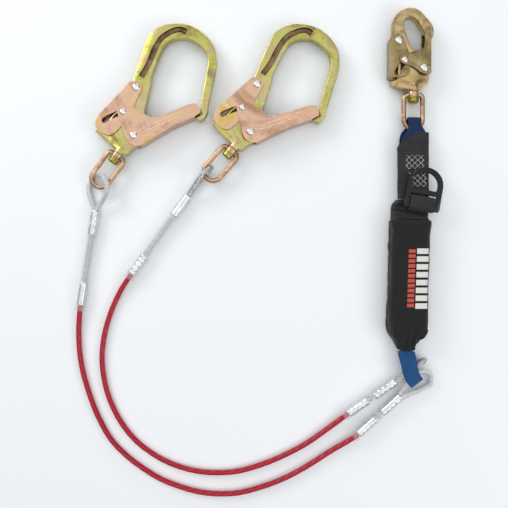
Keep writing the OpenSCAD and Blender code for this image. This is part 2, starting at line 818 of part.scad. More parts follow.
module large_lock_lever(at) {
    at_hook(at) lock_lever(large_lever_outline, large_lever_edge, lock_pivot,
        cam_path(gate_pivot, gate_pin_at, gate_travel, lock_pivot, lever_travel));
}

large_hook_body(left_hook_at);  // left_hook_body
large_gate(left_hook_at);  // left_gate
large_lock_lever(left_hook_at);  // left_lock_lever
at_hook(left_hook_at) gate_rivet(gate_pivot);  // left_gate_rivet
at_hook(left_hook_at) lock_rivet(lock_pivot);  // left_lock_rivet
at_hook(left_hook_at) gate_pin(gate_pin_at);  // left_gate_pin
at_hook(left_hook_at) hook_spring(gate_pivot, [200, 60]);  // left_gate_spring
at_hook(left_hook_at) hook_spring(lock_pivot, [20, 240]);  // left_lock_spring
at_hook(left_hook_at) swivel_bolt();  // left_swivel_bolt
at_hook(left_hook_at) swivel_eye(link_l);  // left_swivel_eye

large_hook_body(right_hook_at);  // right_hook_body
large_gate(right_hook_at);  // right_gate
large_lock_lever(right_hook_at);  // right_lock_lever
at_hook(right_hook_at) gate_rivet(gate_pivot);  // right_gate_rivet
at_hook(right_hook_at) lock_rivet(lock_pivot);  // right_lock_rivet
at_hook(right_hook_at) gate_pin(gate_pin_at);  // right_gate_pin
at_hook(right_hook_at) hook_spring(gate_pivot, [200, 60]);  // right_gate_spring
at_hook(right_hook_at) hook_spring(lock_pivot, [20, 240]);  // right_lock_spring
at_hook(right_hook_at) swivel_bolt();  // right_swivel_bolt
at_hook(right_hook_at) swivel_eye(link_l);  // right_swivel_eye

at_hook(snap_hook_at) hook_body(snap_outline, snap_rim, snap_gate_pivot, snap_pin_at,  // snap_hook_body
        snap_gate_travel, snap_lock_pivot);
at_hook(snap_hook_at) gate(snap_gate_outline, snap_gate_edge, snap_gate_pivot, snap_pin_at);  // snap_gate
at_hook(snap_hook_at) lock_lever(snap_lever_outline, snap_lever_edge, snap_lock_pivot,  // snap_lock_lever
        cam_path(snap_gate_pivot, snap_pin_at, snap_gate_travel, snap_lock_pivot,
            snap_lever_travel));
at_hook(snap_hook_at) gate_rivet(snap_gate_pivot);  // snap_gate_rivet
at_hook(snap_hook_at) lock_rivet(snap_lock_pivot);  // snap_lock_rivet
at_hook(snap_hook_at) gate_pin(snap_pin_at);  // snap_gate_pin
at_hook(snap_hook_at) hook_spring(snap_gate_pivot, [200, 60]);  // snap_gate_spring
at_hook(snap_hook_at) hook_spring(snap_lock_pivot, [20, 240]);  // snap_lock_spring
at_hook(snap_hook_at) swivel_bolt();  // snap_swivel_bolt
at_hook(snap_hook_at) swivel_eye(snap_link_l);  // snap_swivel_eye

laid_out() color(crimson) tube(rope_route(left_upper_end, left_rope, left_lower_end), rope_d, 8);  // left_cable
laid_out() rope_eye(left_upper_end, left_upper_middle, 35);  // left_upper_eye
laid_out() ferrules(left_upper_end);  // left_upper_ferrules
laid_out() sleeve(left_upper_end);  // left_upper_sleeve
laid_out() rope_eye(left_lower_end, left_lower_middle, -160);  // left_lower_eye
laid_out() ferrules(left_lower_end);  // left_lower_ferrules
laid_out() sleeve(left_lower_end);  // left_lower_sleeve
laid_out() color(crimson) tube(rope_route(right_upper_end, right_rope, right_lower_end), rope_d, 8);  // right_cable
laid_out() rope_eye(right_upper_end, right_upper_middle, 90);  // right_upper_eye
laid_out() ferrules(right_upper_end);  // right_upper_ferrules
laid_out() sleeve(right_upper_end);  // right_upper_sleeve
laid_out() rope_eye(right_lower_end, right_lower_middle, 90);  // right_lower_eye
laid_out() ferrules(right_lower_end);  // right_lower_ferrules
laid_out() sleeve(right_lower_end);  // right_lower_sleeve

laid_out() pack_cover();
laid_out() pack_flap();
laid_out() tear_webbing();
laid_out() upper_webbing();
laid_out() top_loop();
laid_out() bottom_loop();
laid_out() d_ring();
laid_out() d_ring_keeper();
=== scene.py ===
import json
import math

import bmesh
import bpy
import numpy as np
from mathutils import Matrix, Vector, noise


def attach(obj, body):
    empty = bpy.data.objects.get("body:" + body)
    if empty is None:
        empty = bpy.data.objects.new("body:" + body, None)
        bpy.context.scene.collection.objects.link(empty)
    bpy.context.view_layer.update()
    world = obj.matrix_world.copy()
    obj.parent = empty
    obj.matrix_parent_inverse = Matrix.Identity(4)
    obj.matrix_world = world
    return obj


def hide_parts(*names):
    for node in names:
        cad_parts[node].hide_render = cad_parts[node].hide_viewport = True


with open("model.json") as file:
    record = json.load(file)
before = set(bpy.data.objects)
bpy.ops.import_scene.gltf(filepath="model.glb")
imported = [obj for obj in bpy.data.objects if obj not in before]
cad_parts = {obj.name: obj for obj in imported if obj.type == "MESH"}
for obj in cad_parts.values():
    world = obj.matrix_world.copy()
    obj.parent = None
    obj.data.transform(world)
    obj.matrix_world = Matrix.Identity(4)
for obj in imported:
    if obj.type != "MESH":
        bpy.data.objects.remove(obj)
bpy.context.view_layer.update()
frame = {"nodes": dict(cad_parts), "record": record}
NODES = frame["nodes"]
BODY_OF = {node: body for body, nodes in frame["record"]["behaviour"]["bodies"].items() for node in nodes}

# The lanyard is laid out on the table in millimetres and then centred by this much
MIDDLE = (4.44, 42.04)
# Metres of rope in one turn of its strands
ROPE_LAY = 0.046


def spot(x, y, z=0.0):
    """A table position in millimetres as a point in the shared frame."""
    return Vector(((x - MIDDLE[0]) / 1000, (y - MIDDLE[1]) / 1000, z / 1000))


# ---------- camera and stage ----------

lens = bpy.data.cameras.new("Overhead")
lens.lens = 42.5
lens.sensor_width = 36
camera = bpy.data.objects.new("Overhead", lens)
camera.location = spot(0, 0, 912)
bpy.context.scene.collection.objects.link(camera)
bpy.context.scene.camera = camera
bpy.context.scene.view_settings.view_transform = "Standard"


# ---------- shader maths ----------

class Value:
    """One socket of a finish, with arithmetic that adds its Math nodes."""

    def __init__(self, finish, socket):
        self.finish, self.socket = finish, socket

    def math(self, operation, *terms):
        return self.finish.node("Math", {"operation": operation}, dict(enumerate(terms)))

    def __add__(self, other): return self.math("ADD", self, other)
    def __radd__(self, other): return self.math("ADD", other, self)
    def __sub__(self, other): return self.math("SUBTRACT", self, other)
    def __rsub__(self, other): return self.math("SUBTRACT", other, self)
    def __mul__(self, other): return self.math("MULTIPLY", self, other)
    def __rmul__(self, other): return self.math("MULTIPLY", other, self)
    def __truediv__(self, other): return self.math("DIVIDE", self, other)
    def __gt__(self, other): return self.math("GREATER_THAN", self, other)
    def __lt__(self, other): return self.math("LESS_THAN", self, other)
    def sin(self): return self.math("SINE", self)
    def fract(self): return self.math("FRACT", self)

    def band(self, low, high, to_low=0.0, to_high=1.0):
        """This value from low..high, eased to to_low..to_high."""
        return self.finish.node("MapRange", {"interpolation_type": "SMOOTHSTEP"},
            {0: self, 1: low, 2: high, 3: to_low, 4: to_high})


class Finish:
    """A material built from nodes; keyword constants go straight on its shader's sockets."""

    def __init__(self, name, **constants):
        self.material = bpy.data.materials.new(name)
        self.material.use_nodes = True
        self.tree = self.material.node_tree
        self.tree.nodes.clear()
        self.shader = self.tree.nodes.new("ShaderNodeBsdfPrincipled")
        out = self.tree.nodes.new("ShaderNodeOutputMaterial")
        self.tree.links.new(self.shader.outputs[0], out.inputs[0])
        for key, value in constants.items():
            self.set(key.replace("_", " "), value)

    def set(self, name, value):
        self.put(self.shader.inputs[name], value)

    def put(self, socket, value):
        if isinstance(value, Value):
            self.tree.links.new(value.socket, socket)
        elif socket.type == "RGBA" and len(value) == 3:
            socket.default_value = (*value, 1)
        else:
            socket.default_value = value

    def node(self, kind, settings=None, sockets=None, output=0):
        made = self.tree.nodes.new("ShaderNode" + kind)
        for key, value in (settings or {}).items():
            if key == "stops":
                ramp = made.color_ramp
                while len(ramp.elements) < len(value):
                    ramp.elements.new(0.5)
                for element, (place, colour) in zip(ramp.elements, value):
                    element.position = place
                    element.color = (*colour, 1)
            else:
                setattr(made, key, value)
        for key, value in (sockets or {}).items():
            self.put(made.inputs[key], value)
        return Value(self, made.outputs[output])

    def place(self):
        return self.node("TexCoord", output="Object")

    def across(self):
        """The piece's own two running lengths in metres: along it, and across or round it."""
        split = self.tree.nodes.new("ShaderNodeSeparateXYZ")
        self.put(split.inputs[0], self.node("UVMap", {"uv_map": "lay"}))
        return Value(self, split.outputs[0]), Value(self, split.outputs[1])

    def xyz(self, place=None, **mapping):
        """The three parts of a place, turned or centred first if asked."""
        place = place or self.place()
        if mapping:
            place = self.node("Mapping", sockets={"Vector": place, **{k.title(): v for k, v in mapping.items()}})
        split = self.tree.nodes.new("ShaderNodeSeparateXYZ")
        self.put(split.inputs[0], place)
        return [Value(self, split.outputs[i]) for i in range(3)]

    def grain(self, scale, detail=3.0, roughness=0.55, distortion=0.0):
        return self.node("TexNoise", {}, {"Vector": self.place(), "Scale": scale, "Detail": detail,
            "Roughness": roughness, "Distortion": distortion})

    def ramp(self, factor, *stops):
        return self.node("ValToRGB", {"stops": stops}, {0: factor})

    def mix(self, factor, a, b):
        return self.node("Mix", {"data_type": "RGBA"}, {0: factor, 6: a, 7: b}, output=2)

    def bump(self, height, distance, strength=1.0):
        self.set("Normal", self.node("Bump", {}, {"Height": height, "Distance": distance, "Strength": strength}))

    def edges(self, low, high):
        """1 along sharp outer edges, 0 on flats."""
        return self.node("NewGeometry", output="Pointiness").band(low, high)


def zinc(name, stops, patch=55, rough=(0.3, 0.5), pits=0.00012):
    """Passivated zinc: a colour that drifts in clouds, with fine forged grain, paler worn edges, and painted shade in
    its hollows.
    """
    f = Finish(name, Metallic=1.0)
    clouds = f.grain(patch, 4, 0.6, distortion=0.8)
    fine = f.grain(900, 2)
    speck = f.grain(260, 3, 0.7)
    colour = f.ramp(clouds + (speck - 0.5) * 0.22, *stops)
    worn = f.edges(0.53, 0.62)
    # painted shade: concave hollows and inner corners are darkened towards dark brown
    dark = 1 - f.node("NewGeometry", output="Pointiness").band(0.40, 0.495)
    colour = f.mix(dark * 0.6, colour, (0.07, 0.05, 0.025))
    colour = f.mix(worn * 0.2, colour, (0.74, 0.70, 0.42))
    f.set("Base Color", colour)
    f.set("Roughness", clouds.band(0.3, 0.7, *rough) + (fine - 0.5) * 0.12)
    f.bump(fine * 0.5 + speck, pits)
    return f.material


FORGING = zinc("Zinc_forging", [(0.30, (0.30, 0.22, 0.10)), (0.42, (0.40, 0.35, 0.10)), (0.52, (0.54, 0.52, 0.14)),
    (0.60, (0.50, 0.38, 0.20)), (0.74, (0.62, 0.58, 0.22))], patch=22, rough=(0.22, 0.36), pits=0.00015)
PLATE = zinc("Zinc_plate", [(0.28, (0.36, 0.20, 0.12)), (0.40, (0.52, 0.32, 0.21)), (0.50, (0.70, 0.44, 0.32)),
    (0.60, (0.66, 0.46, 0.24)), (0.67, (0.64, 0.43, 0.07)), (0.80, (0.78, 0.58, 0.46))], patch=16, rough=(0.20, 0.34),
    pits=0.00005)
# Dark zinc for the cut faces of the hooks' relief channel: painted shade in the groove
GROOVE_SHADE = zinc("Zinc_groove_painted_shade", [(0.34, (0.10, 0.062, 0.035)), (0.52, (0.20, 0.13, 0.075)), (0.68, (0.34, 0.24, 0.11))],
    patch=60,
    rough=(0.34, 0.5), pits=0.0003)
SNAP_BODY = zinc("Zinc_snap_body", [(0.30, (0.22, 0.14, 0.07)), (0.44, (0.42, 0.30, 0.13)),
    (0.56, (0.58, 0.40, 0.23)),
    (0.70, (0.52, 0.45, 0.15))], patch=60, rough=(0.24, 0.38), pits=0.0001)
SNAP_PLATE = zinc("Zinc_snap_plate", [(0.30, (0.15, 0.11, 0.05)), (0.46, (0.28, 0.22, 0.09)),
    (0.60, (0.42, 0.29, 0.17)),
    (0.74, (0.34, 0.30, 0.10))], patch=45, rough=(0.22, 0.36), pits=0.00005)
LINK = zinc("Zinc_link", [(0.32, (0.30, 0.17, 0.10)), (0.5, (0.52, 0.33, 0.21)), (0.68, (0.66, 0.50, 0.28))],
    patch=70,
    rough=(0.24, 0.40), pits=0.00008)
BOLT = zinc("Zinc_bolt", [(0.34, (0.28, 0.24, 0.05)), (0.52, (0.48, 0.42, 0.10)), (0.68, (0.60, 0.48, 0.22))],
    patch=80,
    rough=(0.28, 0.42), pits=0.0001)


def bright_steel():
    f = Finish("Bright_rivet", Metallic=1.0)
    fine = f.grain(1500, 2)
    f.set("Base Color", f.mix(f.grain(120).band(0.35, 0.7), (0.74, 0.73, 0.70), (0.86, 0.85, 0.82)))
    f.set("Roughness", 0.16 + fine * 0.16)
    f.bump(fine, 0.00003)
    return f.material


def spring_steel():
    f = Finish("Spring_wire", Metallic=1.0)
    f.set("Base Color", f.mix(f.grain(400), (0.34, 0.34, 0.35), (0.52, 0.52, 0.53)))
    f.set("Roughness", 0.3 + f.grain(1800) * 0.15)
    return f.material


def coated_rope():
    """Clear crimson coating over a laid rope: the strands show as paler helical bands."""
    f = Finish("Crimson_coating", Coat_Weight=0.22, Coat_Roughness=0.12, Specular_IOR_Level=0.3)
    along, around = f.across()
    strand = ((along / ROPE_LAY + around) * (math.pi * 6)).sin() * 0.5 + 0.5
    wires = ((along / 0.0062 - around * 5.0) * (math.pi * 2)).sin() * 0.5 + 0.5
    cloud = f.grain(45, 3)
    body = f.mix(strand.band(0.10, 0.85), (0.36, 0.003, 0.020), (0.47, 0.006, 0.032))
    body = f.mix(strand.band(0.6, 1.0) * wires * 0.3, body, (0.58, 0.07, 0.10))
    f.set("Base Color", f.mix(cloud.band(0.4, 0.75) * 0.35, body, (0.30, 0.002, 0.016)))
    f.set("Roughness", 0.24 + cloud * 0.16)
    f.bump(strand * 0.8 + wires * 0.2, 0.00018)
    return f.material


def rope_wire():
    f = Finish("Rope_wire", Metallic=0.8)
    along, around = f.across()
    wires = ((along / 0.011 + around * 6.0) * (math.pi * 2)).sin() * 0.5 + 0.5
    dirt = f.grain(300, 4)
    colour = f.mix(wires.band(0.1, 0.8), (0.22, 0.22, 0.225), (0.92, 0.93, 0.94))
    f.set("Base Color", f.mix(dirt.band(0.5, 0.8) * 0.4, colour, (0.36, 0.33, 0.28)))
    f.set("Roughness", 0.26 + dirt * 0.2)
    f.bump(wires, 0.00025)
    return f.material


def pressed_alloy():
    f = Finish("Pressed_alloy", Metallic=1.0)
    fine, broad = f.grain(1200, 2), f.grain(90, 4)
    f.set("Base Color", f.mix(broad.band(0.35, 0.7), (0.70, 0.71, 0.72), (0.90, 0.91, 0.92)))
    f.set("Roughness", 0.14 + broad * 0.16 + fine * 0.06)
    f.bump(broad * 0.6 + fine * 0.4, 0.00004)
    return f.material


def clear_film(name, alpha, tint):
    f = Finish(name, Specular_IOR_Level=0.6, Coat_Weight=0.4, Coat_Roughness=0.1)
    haze = f.grain(140, 3, 0.6)
    f.set("Base Color", f.mix(haze, tint, tuple(min(1, c * 1.06) for c in tint)))
    f.set("Alpha", alpha * 0.8 + haze * (alpha * 0.4))
    f.set("Roughness", 0.18 + haze * 0.15)
    f.bump(haze, 0.0001, 0.5)
    return f.material


def webbing(name, dark, light, rib=0.0021, depth=0.00028):
    """Woven strap: ribs across it and yarns crossing them."""
    f = Finish(name, Sheen_Weight=0.15, Sheen_Roughness=0.5, Specular_IOR_Level=0.25)
    along, across = f.across()
    row = along / rib
    step = across.math("FLOOR", across / (rib * 1.4))
    twill = ((row + step * 0.5) * (2 * math.pi)).sin() * 0.5 + 0.5
    ribs = (row * (2 * math.pi)).sin() * 0.5 + 0.5
    yarn = (across / (rib * 0.35) * (2 * math.pi)).sin() * 0.5 + 0.5
    cloud = f.grain(60, 4, 0.6)
    fuzz = f.grain(2600, 2)
    height = ribs * 0.65 + twill * 0.25 + yarn * 0.10
    colour = f.mix(height.band(0.15, 0.9), dark, light)
    colour = f.mix(cloud.band(0.45, 0.8) * 0.3, colour, tuple(c * 0.55 for c in dark))
    f.set("Base Color", colour)
    f.set("Roughness", 0.62 + cloud * 0.2)
    f.bump(height + fuzz * 0.15, depth)
    return f.material


def pack_cloth(name, marks=None):
    """Fine matt weave; marks is a function that lays printed bars on it."""
    f = Finish(name, Sheen_Weight=0.10, Sheen_Roughness=0.6, Specular_IOR_Level=0.2)
    x, y, _ = f.xyz(rotation=(0, 0, math.radians(1.9)))
    weft = (x / 0.0009 * (2 * math.pi)).sin() * 0.5 + 0.5
    warp = (y / 0.0009 * (2 * math.pi)).sin() * 0.5 + 0.5
    weave = weft * warp + (1 - weft) * (1 - warp)
    cloud, fuzz = f.grain(35, 4, 0.6), f.grain(3200, 2)
    colour = f.mix(weave * 0.7 + fuzz * 0.3, (0.005, 0.005, 0.0055), (0.019, 0.019, 0.020))
    colour = f.mix(cloud.band(0.4, 0.75) * 0.5, colour, (0.012, 0.012, 0.013))
    rough = 0.7 + cloud * 0.15
    if marks:
        colour = marks(f, colour, fuzz, weave)
    f.set("Base Color", colour)
    f.set("Roughness", rough)
    f.bump(weave * 0.7 + fuzz * 0.3, 0.00014)
    return f.material


def printed_bars(f, colour, fuzz, weave):
    """Two plain columns of short bars, one red and one white, rubbed thin here and there."""
    x, y, z = f.xyz()
    x = x + y * math.sin(math.radians(-1.9))
    rub = (f.grain(220, 4, 0.7) + weave * 0.18 + fuzz * 0.12).band(0.40, 0.56)
    for left, right, low, high, count, tone in ((228.5, 238.6, -79, 8, 12, (0.58, 0.095, 0.07)),
            (240.6, 258.6, -82, 10, 8, (0.80, 0.79, 0.74))):
        a, b = spot(left, low), spot(right, high)
        column = (x > a[0]) * (x < b[0]) * (y > a[1]) * (y < b[1]) * (z > 0.024)
        bars = ((y - a[1]) / ((b[1] - a[1]) / count)).fract()
        colour = f.mix(column * (bars > 0.14) * (bars < 0.84) * (rub * 0.35 + 0.62), colour, tone)
    return colour


def thread_cotton():
    f = Finish("White_thread", Sheen_Weight=0.2)
    twist = f.grain(1800, 2)
    f.set("Base Color", f.mix(twist, (0.62, 0.61, 0.58), (0.86, 0.85, 0.82)))
    f.set("Roughness", 0.6 + twist * 0.2)
    return f.material


def black_oxide():
    f = Finish("Black_oxide", Metallic=0.3, Specular_IOR_Level=0.35)
    cloud, fine = f.grain(70, 4), f.grain(1100, 2)
    colour = f.mix(cloud.band(0.35, 0.7), (0.010, 0.010, 0.011), (0.022, 0.022, 0.024))
    f.set("Base Color", f.mix(f.edges(0.53, 0.62) * 0.5, colour, (0.16, 0.16, 0.165)))
    f.set("Roughness", 0.34 + cloud * 0.16 + fine * 0.06)
    f.bump(fine * 0.6 + cloud * 0.4, 0.0001)
    return f.material


def stamp_paint():
    f = Finish("Stamp_shine", Metallic=0.9)
    soft = f.grain(700, 3)
    f.set("Base Color", f.mix(soft, (0.80, 0.72, 0.42), (0.92, 0.86, 0.62)))
    f.set("Roughness", 0.26 + soft * 0.2)
    return f.material


RIVET, SPRING, COATING, WIRE, ALLOY = bright_steel(), spring_steel(), coated_rope(), rope_wire(), pressed_alloy()
SLEEVE = clear_film("Clear_sleeve", 0.10, (0.90, 0.91, 0.92))
COVERED = clear_film("Eye_cover", 0.52, (0.92, 0.92, 0.92))
BLACK_WEB = webbing("Black_webbing", (0.008, 0.008, 0.009), (0.048, 0.048, 0.052), rib=0.0030, depth=0.0005)
NAVY_WEB = webbing("Navy_webbing", (0.002, 0.008, 0.034), (0.008, 0.036, 0.135), rib=0.0024, depth=0.0004)
BLUE_WEB = webbing("Blue_webbing", (0.004, 0.032, 0.115), (0.020, 0.125, 0.36), rib=0.0024, depth=0.0004)
TEAR_WEB = webbing("Tear_webbing", (0.40, 0.38, 0.32), (0.66, 0.63, 0.54))
COVER_CLOTH = pack_cloth("Cover_cloth", printed_bars)
FLAP_CLOTH = pack_cloth("Flap_cloth")
THREAD, OXIDE, STAMP = thread_cotton(), black_oxide(), stamp_paint()


# ---------- mesh helpers ----------

def link(name, mesh):
    piece = bpy.data.objects.new(name, mesh)
    bpy.context.scene.collection.objects.link(piece)
    return piece


def outward(mesh):
    """Doubles merged, then every face of each closed form turned to point out."""
    form = bmesh.new()
    form.from_mesh(mesh)
    bmesh.ops.remove_doubles(form, verts=form.verts, dist=1e-7)
    bmesh.ops.recalc_face_normals(form, faces=form.faces)
    form.to_mesh(mesh)
    form.free()


def mesh_piece(name, points, faces, material):
    """A smooth mesh from points and faces."""
    mesh = bpy.data.meshes.new(name)
    mesh.from_pydata([tuple(p) for p in points], [], faces)
    mesh.materials.append(material)
    outward(mesh)
    mesh.shade_smooth()
    mesh.set_sharp_from_angle(angle=math.radians(50))
    return link(name, mesh)


def settle(piece):
    """The piece with its modifiers made real and its place in its mesh."""
    bpy.context.view_layer.update()
    graph = bpy.context.evaluated_depsgraph_get()
    mesh = bpy.data.meshes.new_from_object(piece.evaluated_get(graph), depsgraph=graph)
    mesh.transform(piece.matrix_world)
    piece.modifiers.clear()
    piece.data = mesh
    piece.matrix_world = Matrix.Identity(4)
    return piece


def finished(piece, body, slot, *nodes):
    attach(piece, body)
    if nodes:
        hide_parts(*nodes)
    return piece


def curve(p, steps):
    """Smooth line through points: Catmull-Rom, as the CAD lays it."""
    p = [Vector(q) for q in p]
    n, out = len(p), []
    for i in range(n - 1):
        a = 2 * p[0] - p[1] if i == 0 else p[i - 1]
        d = 2 * p[n - 1] - p[n - 2] if i == n - 2 else p[i + 2]
        for s in range(steps):
            t = s / steps
            out.append(0.5 * (2 * p[i] + (p[i + 1] - a) * t + (2 * a - 5 * p[i] + 4 * p[i + 1] - d) * t * t
                + (3 * p[i] - a - 3 * p[i + 1] + d) * t ** 3))
    return out + [p[-1]]


def even(path, step):
    """The same line with points every step or so."""
    lengths = [0.0]
    for a, b in zip(path, path[1:]):
        lengths.append(lengths[-1] + (b - a).length)
    count = max(2, round(lengths[-1] / step))
    marks = np.linspace(0, lengths[-1], count + 1)
    xyz = np.array([tuple(p) for p in path])
    return [Vector(q) for q in np.column_stack([np.interp(marks, lengths, xyz[:, i]) for i in range(3)])], lengths[-1]


def frames(path):
    """Tangent and two side directions at each point, carried along without twist."""
    out, u = [], None
    for i in range(len(path)):
        t = (path[min(i + 1, len(path) - 1)] - path[max(i - 1, 0)]).normalized()
        if u is None:
            u = t.cross(Vector((0, 0, 1)))
            u = u if u.length > 0.1 else t.cross(Vector((1, 0, 0)))
        u = (u - u.dot(t) * t).normalized()
        out.append((t, u, t.cross(u)))
    return out


def tube(path, radius, sides):
    """Points, faces and lay of a round tube; radius may be a function of (along, turn 0..1)."""
    shape = radius if callable(radius) else lambda s, a: radius
    points, lay, faces, s = [], [], [], 0.0
    ring = frames(path)
    for i, (p, (t, u, v)) in enumerate(zip(path, ring)):
        if i:
            s += (p - path[i - 1]).length
        for k in range(sides + 1):
            a = k / sides
            turn = 2 * math.pi * a
            if k < sides:
                points.append(p + shape(s, a) * (math.cos(turn) * u + math.sin(turn) * v))
            lay.append((s, a))
    n = len(path)
    corner_lay = []
    for i in range(n - 1):
        for k in range(sides):
            faces.append((i * sides + k, (i + 1) * sides + k, (i + 1) * sides + (k + 1) % sides,
                i * sides + (k + 1) % sides))
            b = sides + 1
            corner_lay += [lay[i * b + k], lay[(i + 1) * b + k], lay[(i + 1) * b + k + 1], lay[i * b + k + 1]]
    first = tuple(range(sides))
    last = tuple(range((n - 1) * sides + sides - 1, (n - 1) * sides - 1, -1))
    faces += [first, last]
    corner_lay += [lay[0]] * (2 * sides)
    return points, faces, corner_lay


def joined(parts):
    """Several (points, faces, corner lay) as one."""
    points, faces, lay = [], [], []
    for p, f, l in parts:
        base = len(points)
        points += p
        faces += [tuple(base + i for i in face) for face in f]
        lay += l
    return points, faces, lay


def corner_piece(name, parts, material, angle=50):
    points, faces, lay = joined(parts)
    mesh = bpy.data.meshes.new(name)
    mesh.from_pydata([tuple(p) for p in points], [], faces)
    mesh.materials.append(material)
    uv = mesh.uv_layers.new(name="lay")
    uv.data.foreach_set("uv", np.array(lay, np.float32).ravel())
    outward(mesh)
    mesh.shade_smooth()
    mesh.set_sharp_from_angle(angle=math.radians(angle))
    return link(name, mesh)


def strands(path, bundle, count, pitch, wire):
    """The strands of a laid rope, each a tube that winds round the path, and its core."""
    ring, s = frames(path), 0.0
    lines = [[] for _ in range(count)]
    for i, (p, (t, u, v)) in enumerate(zip(path, ring)):
        if i:
            s += (p - path[i - 1]).length
        for k in range(count):
            turn = 2 * math.pi * (k / count + s / pitch)
            lines[k].append(p + (bundle - wire) * (math.cos(turn) * u + math.sin(turn) * v))
    core = tube(path, max(bundle - 2 * wire, wire * 0.6) + wire * 0.25, 6)
    return [tube(line, wire, 8) for line in lines] + [core]


# A hook's relief channel: its centre line's height off the middle plane (mm), and its radius (m)
GROOVE_Z, GROOVE_R = 8.6, 0.0044


def metal_copy(node, name, material, slot, bevel=0.0006, smooth=38, grooves=None):
    """A CAD piece's own shape, welded into whole faces, with its edges broken as a real one's are."""
    mesh = NODES[node].data.copy()
    mesh.materials.clear()
    mesh.materials.append(material)
    piece = link(name, mesh)
    weld = piece.modifiers.new("weld", "WELD")
    weld.merge_threshold = 0.00001
    flat = piece.modifiers.new("flat", "DECIMATE")
    flat.decimate_type = "DISSOLVE"
    flat.angle_limit = math.radians(0.6)
    if bevel:
        edge = piece.modifiers.new("edge", "BEVEL")
        edge.width = bevel
        edge.segments = 3
        edge.limit_method = "ANGLE"
        edge.angle_limit = math.radians(42)
        edge.harden_normals = False
        edge.use_clamp_overlap = True
    settle(piece)
    if grooves:
        # a forged relief channel follows the limb on both faces; its cut faces take the cutter's dark zinc, painted
        # shade in the groove
        key = node.split("_")[0]
        for side in (-1, 1):
            line = [on_hook(key, q.x, q.y, side * GROOVE_Z) for q in curve([(*q, 0) for q in grooves], 8)]
            cutter = corner_piece("cutter", [tube(line, GROOVE_R, 20)], GROOVE_SHADE)
            cut = piece.modifiers.new("cut", "BOOLEAN")
            cut.operation, cut.solver, cut.object = "DIFFERENCE", "EXACT", cutter
            cut.material_mode = "TRANSFER"
            settle(piece)
            bpy.data.objects.remove(cutter)
    piece.data.shade_smooth()
    piece.data.set_sharp_from_angle(angle=math.radians(smooth))
    return finished(piece, BODY_OF[node], slot, node)


# ---------- the two coated cables ----------

LEFT_ROPE = [(-263.5, -93, 6.5), (-265, -110, 5), (-265, -131, 4.2), (-263, -156, 4.2), (-258, -182, 4.2),
    (-251, -206, 4.2),
    (-243, -229, 4.2), (-233, -252, 4.2), (-216, -281, 4.2), (-194, -304, 4.2), (-171, -322, 4.2), (-142, -340, 4.2),
    (-112, -352, 4.2), (-83, -360, 4.2), (-53, -363, 4.2), (-21, -361, 4.2), (16, -351, 4.2), (49, -338, 4.2),
    (82, -320, 4.2), (115, -299, 4.2), (138, -285, 5.8)]
RIGHT_ROPE = [(-194.5, -44, 6.5), (-202, -56, 5), (-210, -72, 4.2), (-218, -92, 4.2), (-225, -116, 4.2),
    (-229, -140, 4.2),
    (-230, -160, 4.2), (-228, -182, 4.2), (-223, -206, 4.2), (-215, -228, 4.2), (-204, -250, 4.2), (-189, -271, 4.2),
    (-170, -290, 4.2), (-142, -309, 4.2), (-112, -322, 4.2), (-83, -329, 4.2), (-53, -331, 4.2), (-21, -328, 4.2),
    (16, -317, 4.2), (49, -303, 4.2), (82, -285, 4.2), (118, -259, 5.5)]
# Each clamped end: where its eye leaves, which way it heads, and the gap between its ferrules
ENDS = {"left_upper": (-239, 66, 81, 72), "right_upper": (-99, 88, 54, 73), "left_lower": (221, -214, 42, 13),
    "right_lower": (213, -192, 34.5, 13)}
END_Z, FERRULE, ROPE_FERRULE, EYE = 7.7, 38, 35, 7.6


def on_axis(end, back, side=0.0, up=0.0):
    """A point back along an end's axis from its eye, in table millimetres."""
    x, y, heading, _ = ENDS[end]
    c, s = math.cos(math.radians(heading)), math.sin(math.radians(heading))
    return (x - back * c - side * s, y - back * s + side * c, END_Z + up)


def exit_back(end):
    return FERRULE + ENDS[end][3] + ROPE_FERRULE


for leg, route in (("left", LEFT_ROPE), ("right", RIGHT_ROPE)):
    top, foot = f"{leg}_upper", f"{leg}_lower"
    line = [on_axis(top, exit_back(top) + 0.05)] + [tuple(p) for p in curve([on_axis(top, exit_back(top) + 5)] + route
        + [on_axis(foot, exit_back(foot) + 5)], 12)] + [on_axis(foot, exit_back(foot) + 0.05)]
    path, length = even([spot(*p) for p in line], 0.0016)
    lobes = lambda s, a: 0.00396 - 0.00020 * (0.5 + 0.5 * math.cos(2 * math.pi * 6 * (a + s / ROPE_LAY / 2)))
    rope = corner_piece(f"{leg}_coated_cable", [tube(path, lobes, 36)], COATING, 80)
    finished(rope, f"{leg}_leg", "crimson_coating", f"{leg}_cable")
    thin = path[::5] + ([path[-1]] if (len(path) - 1) % 5 else [])

# ---------- rope eyes ----------

EYE_MIDDLES = {
    "left_upper": (35, [(-247, 84, 5.2), (-250, 95, 4), (-249, 105, 4), (-244, 112, 4.6), (-238.5, 116, 6.5),
        (-232, 118, 11), (-226, 116.5, 17), (-220.5, 110.5, 21.2), (-218, 102, 21.8), (-220, 91, 20),
        (-226, 81, 14.5)]),
    "right_upper": (90, [(-88, 103, 3.9), (-81, 112.5, 3.9), (-75, 119.5, 3.9), (-69, 125, 5.4), (-64.8, 128.6, 9),
        (-63.6, 129.8, 13.2), (-64.8, 128.6, 17.6), (-69, 125, 21.3), (-75, 119.5, 22.6), (-81, 112.5, 21.6),
        (-88, 103, 17.5)]),
    "left_lower": (-160, [(263, -199, 5), (267, -190, 6.5), (265, -181.5, 9.5), (257, -176, 12.8), (247, -177, 14),
        (238, -183, 13.9), (231, -193, 12.3)]),
    "right_lower": (90, [(225, -183, 3.9), (235, -175, 3.9), (245, -167, 3.9), (253, -161.5, 4.8), (257.5, -159, 9.8),
        (253, -161.5, 15), (245, -167, 16.2), (235, -175, 16.2), (225, -183, 14)])}


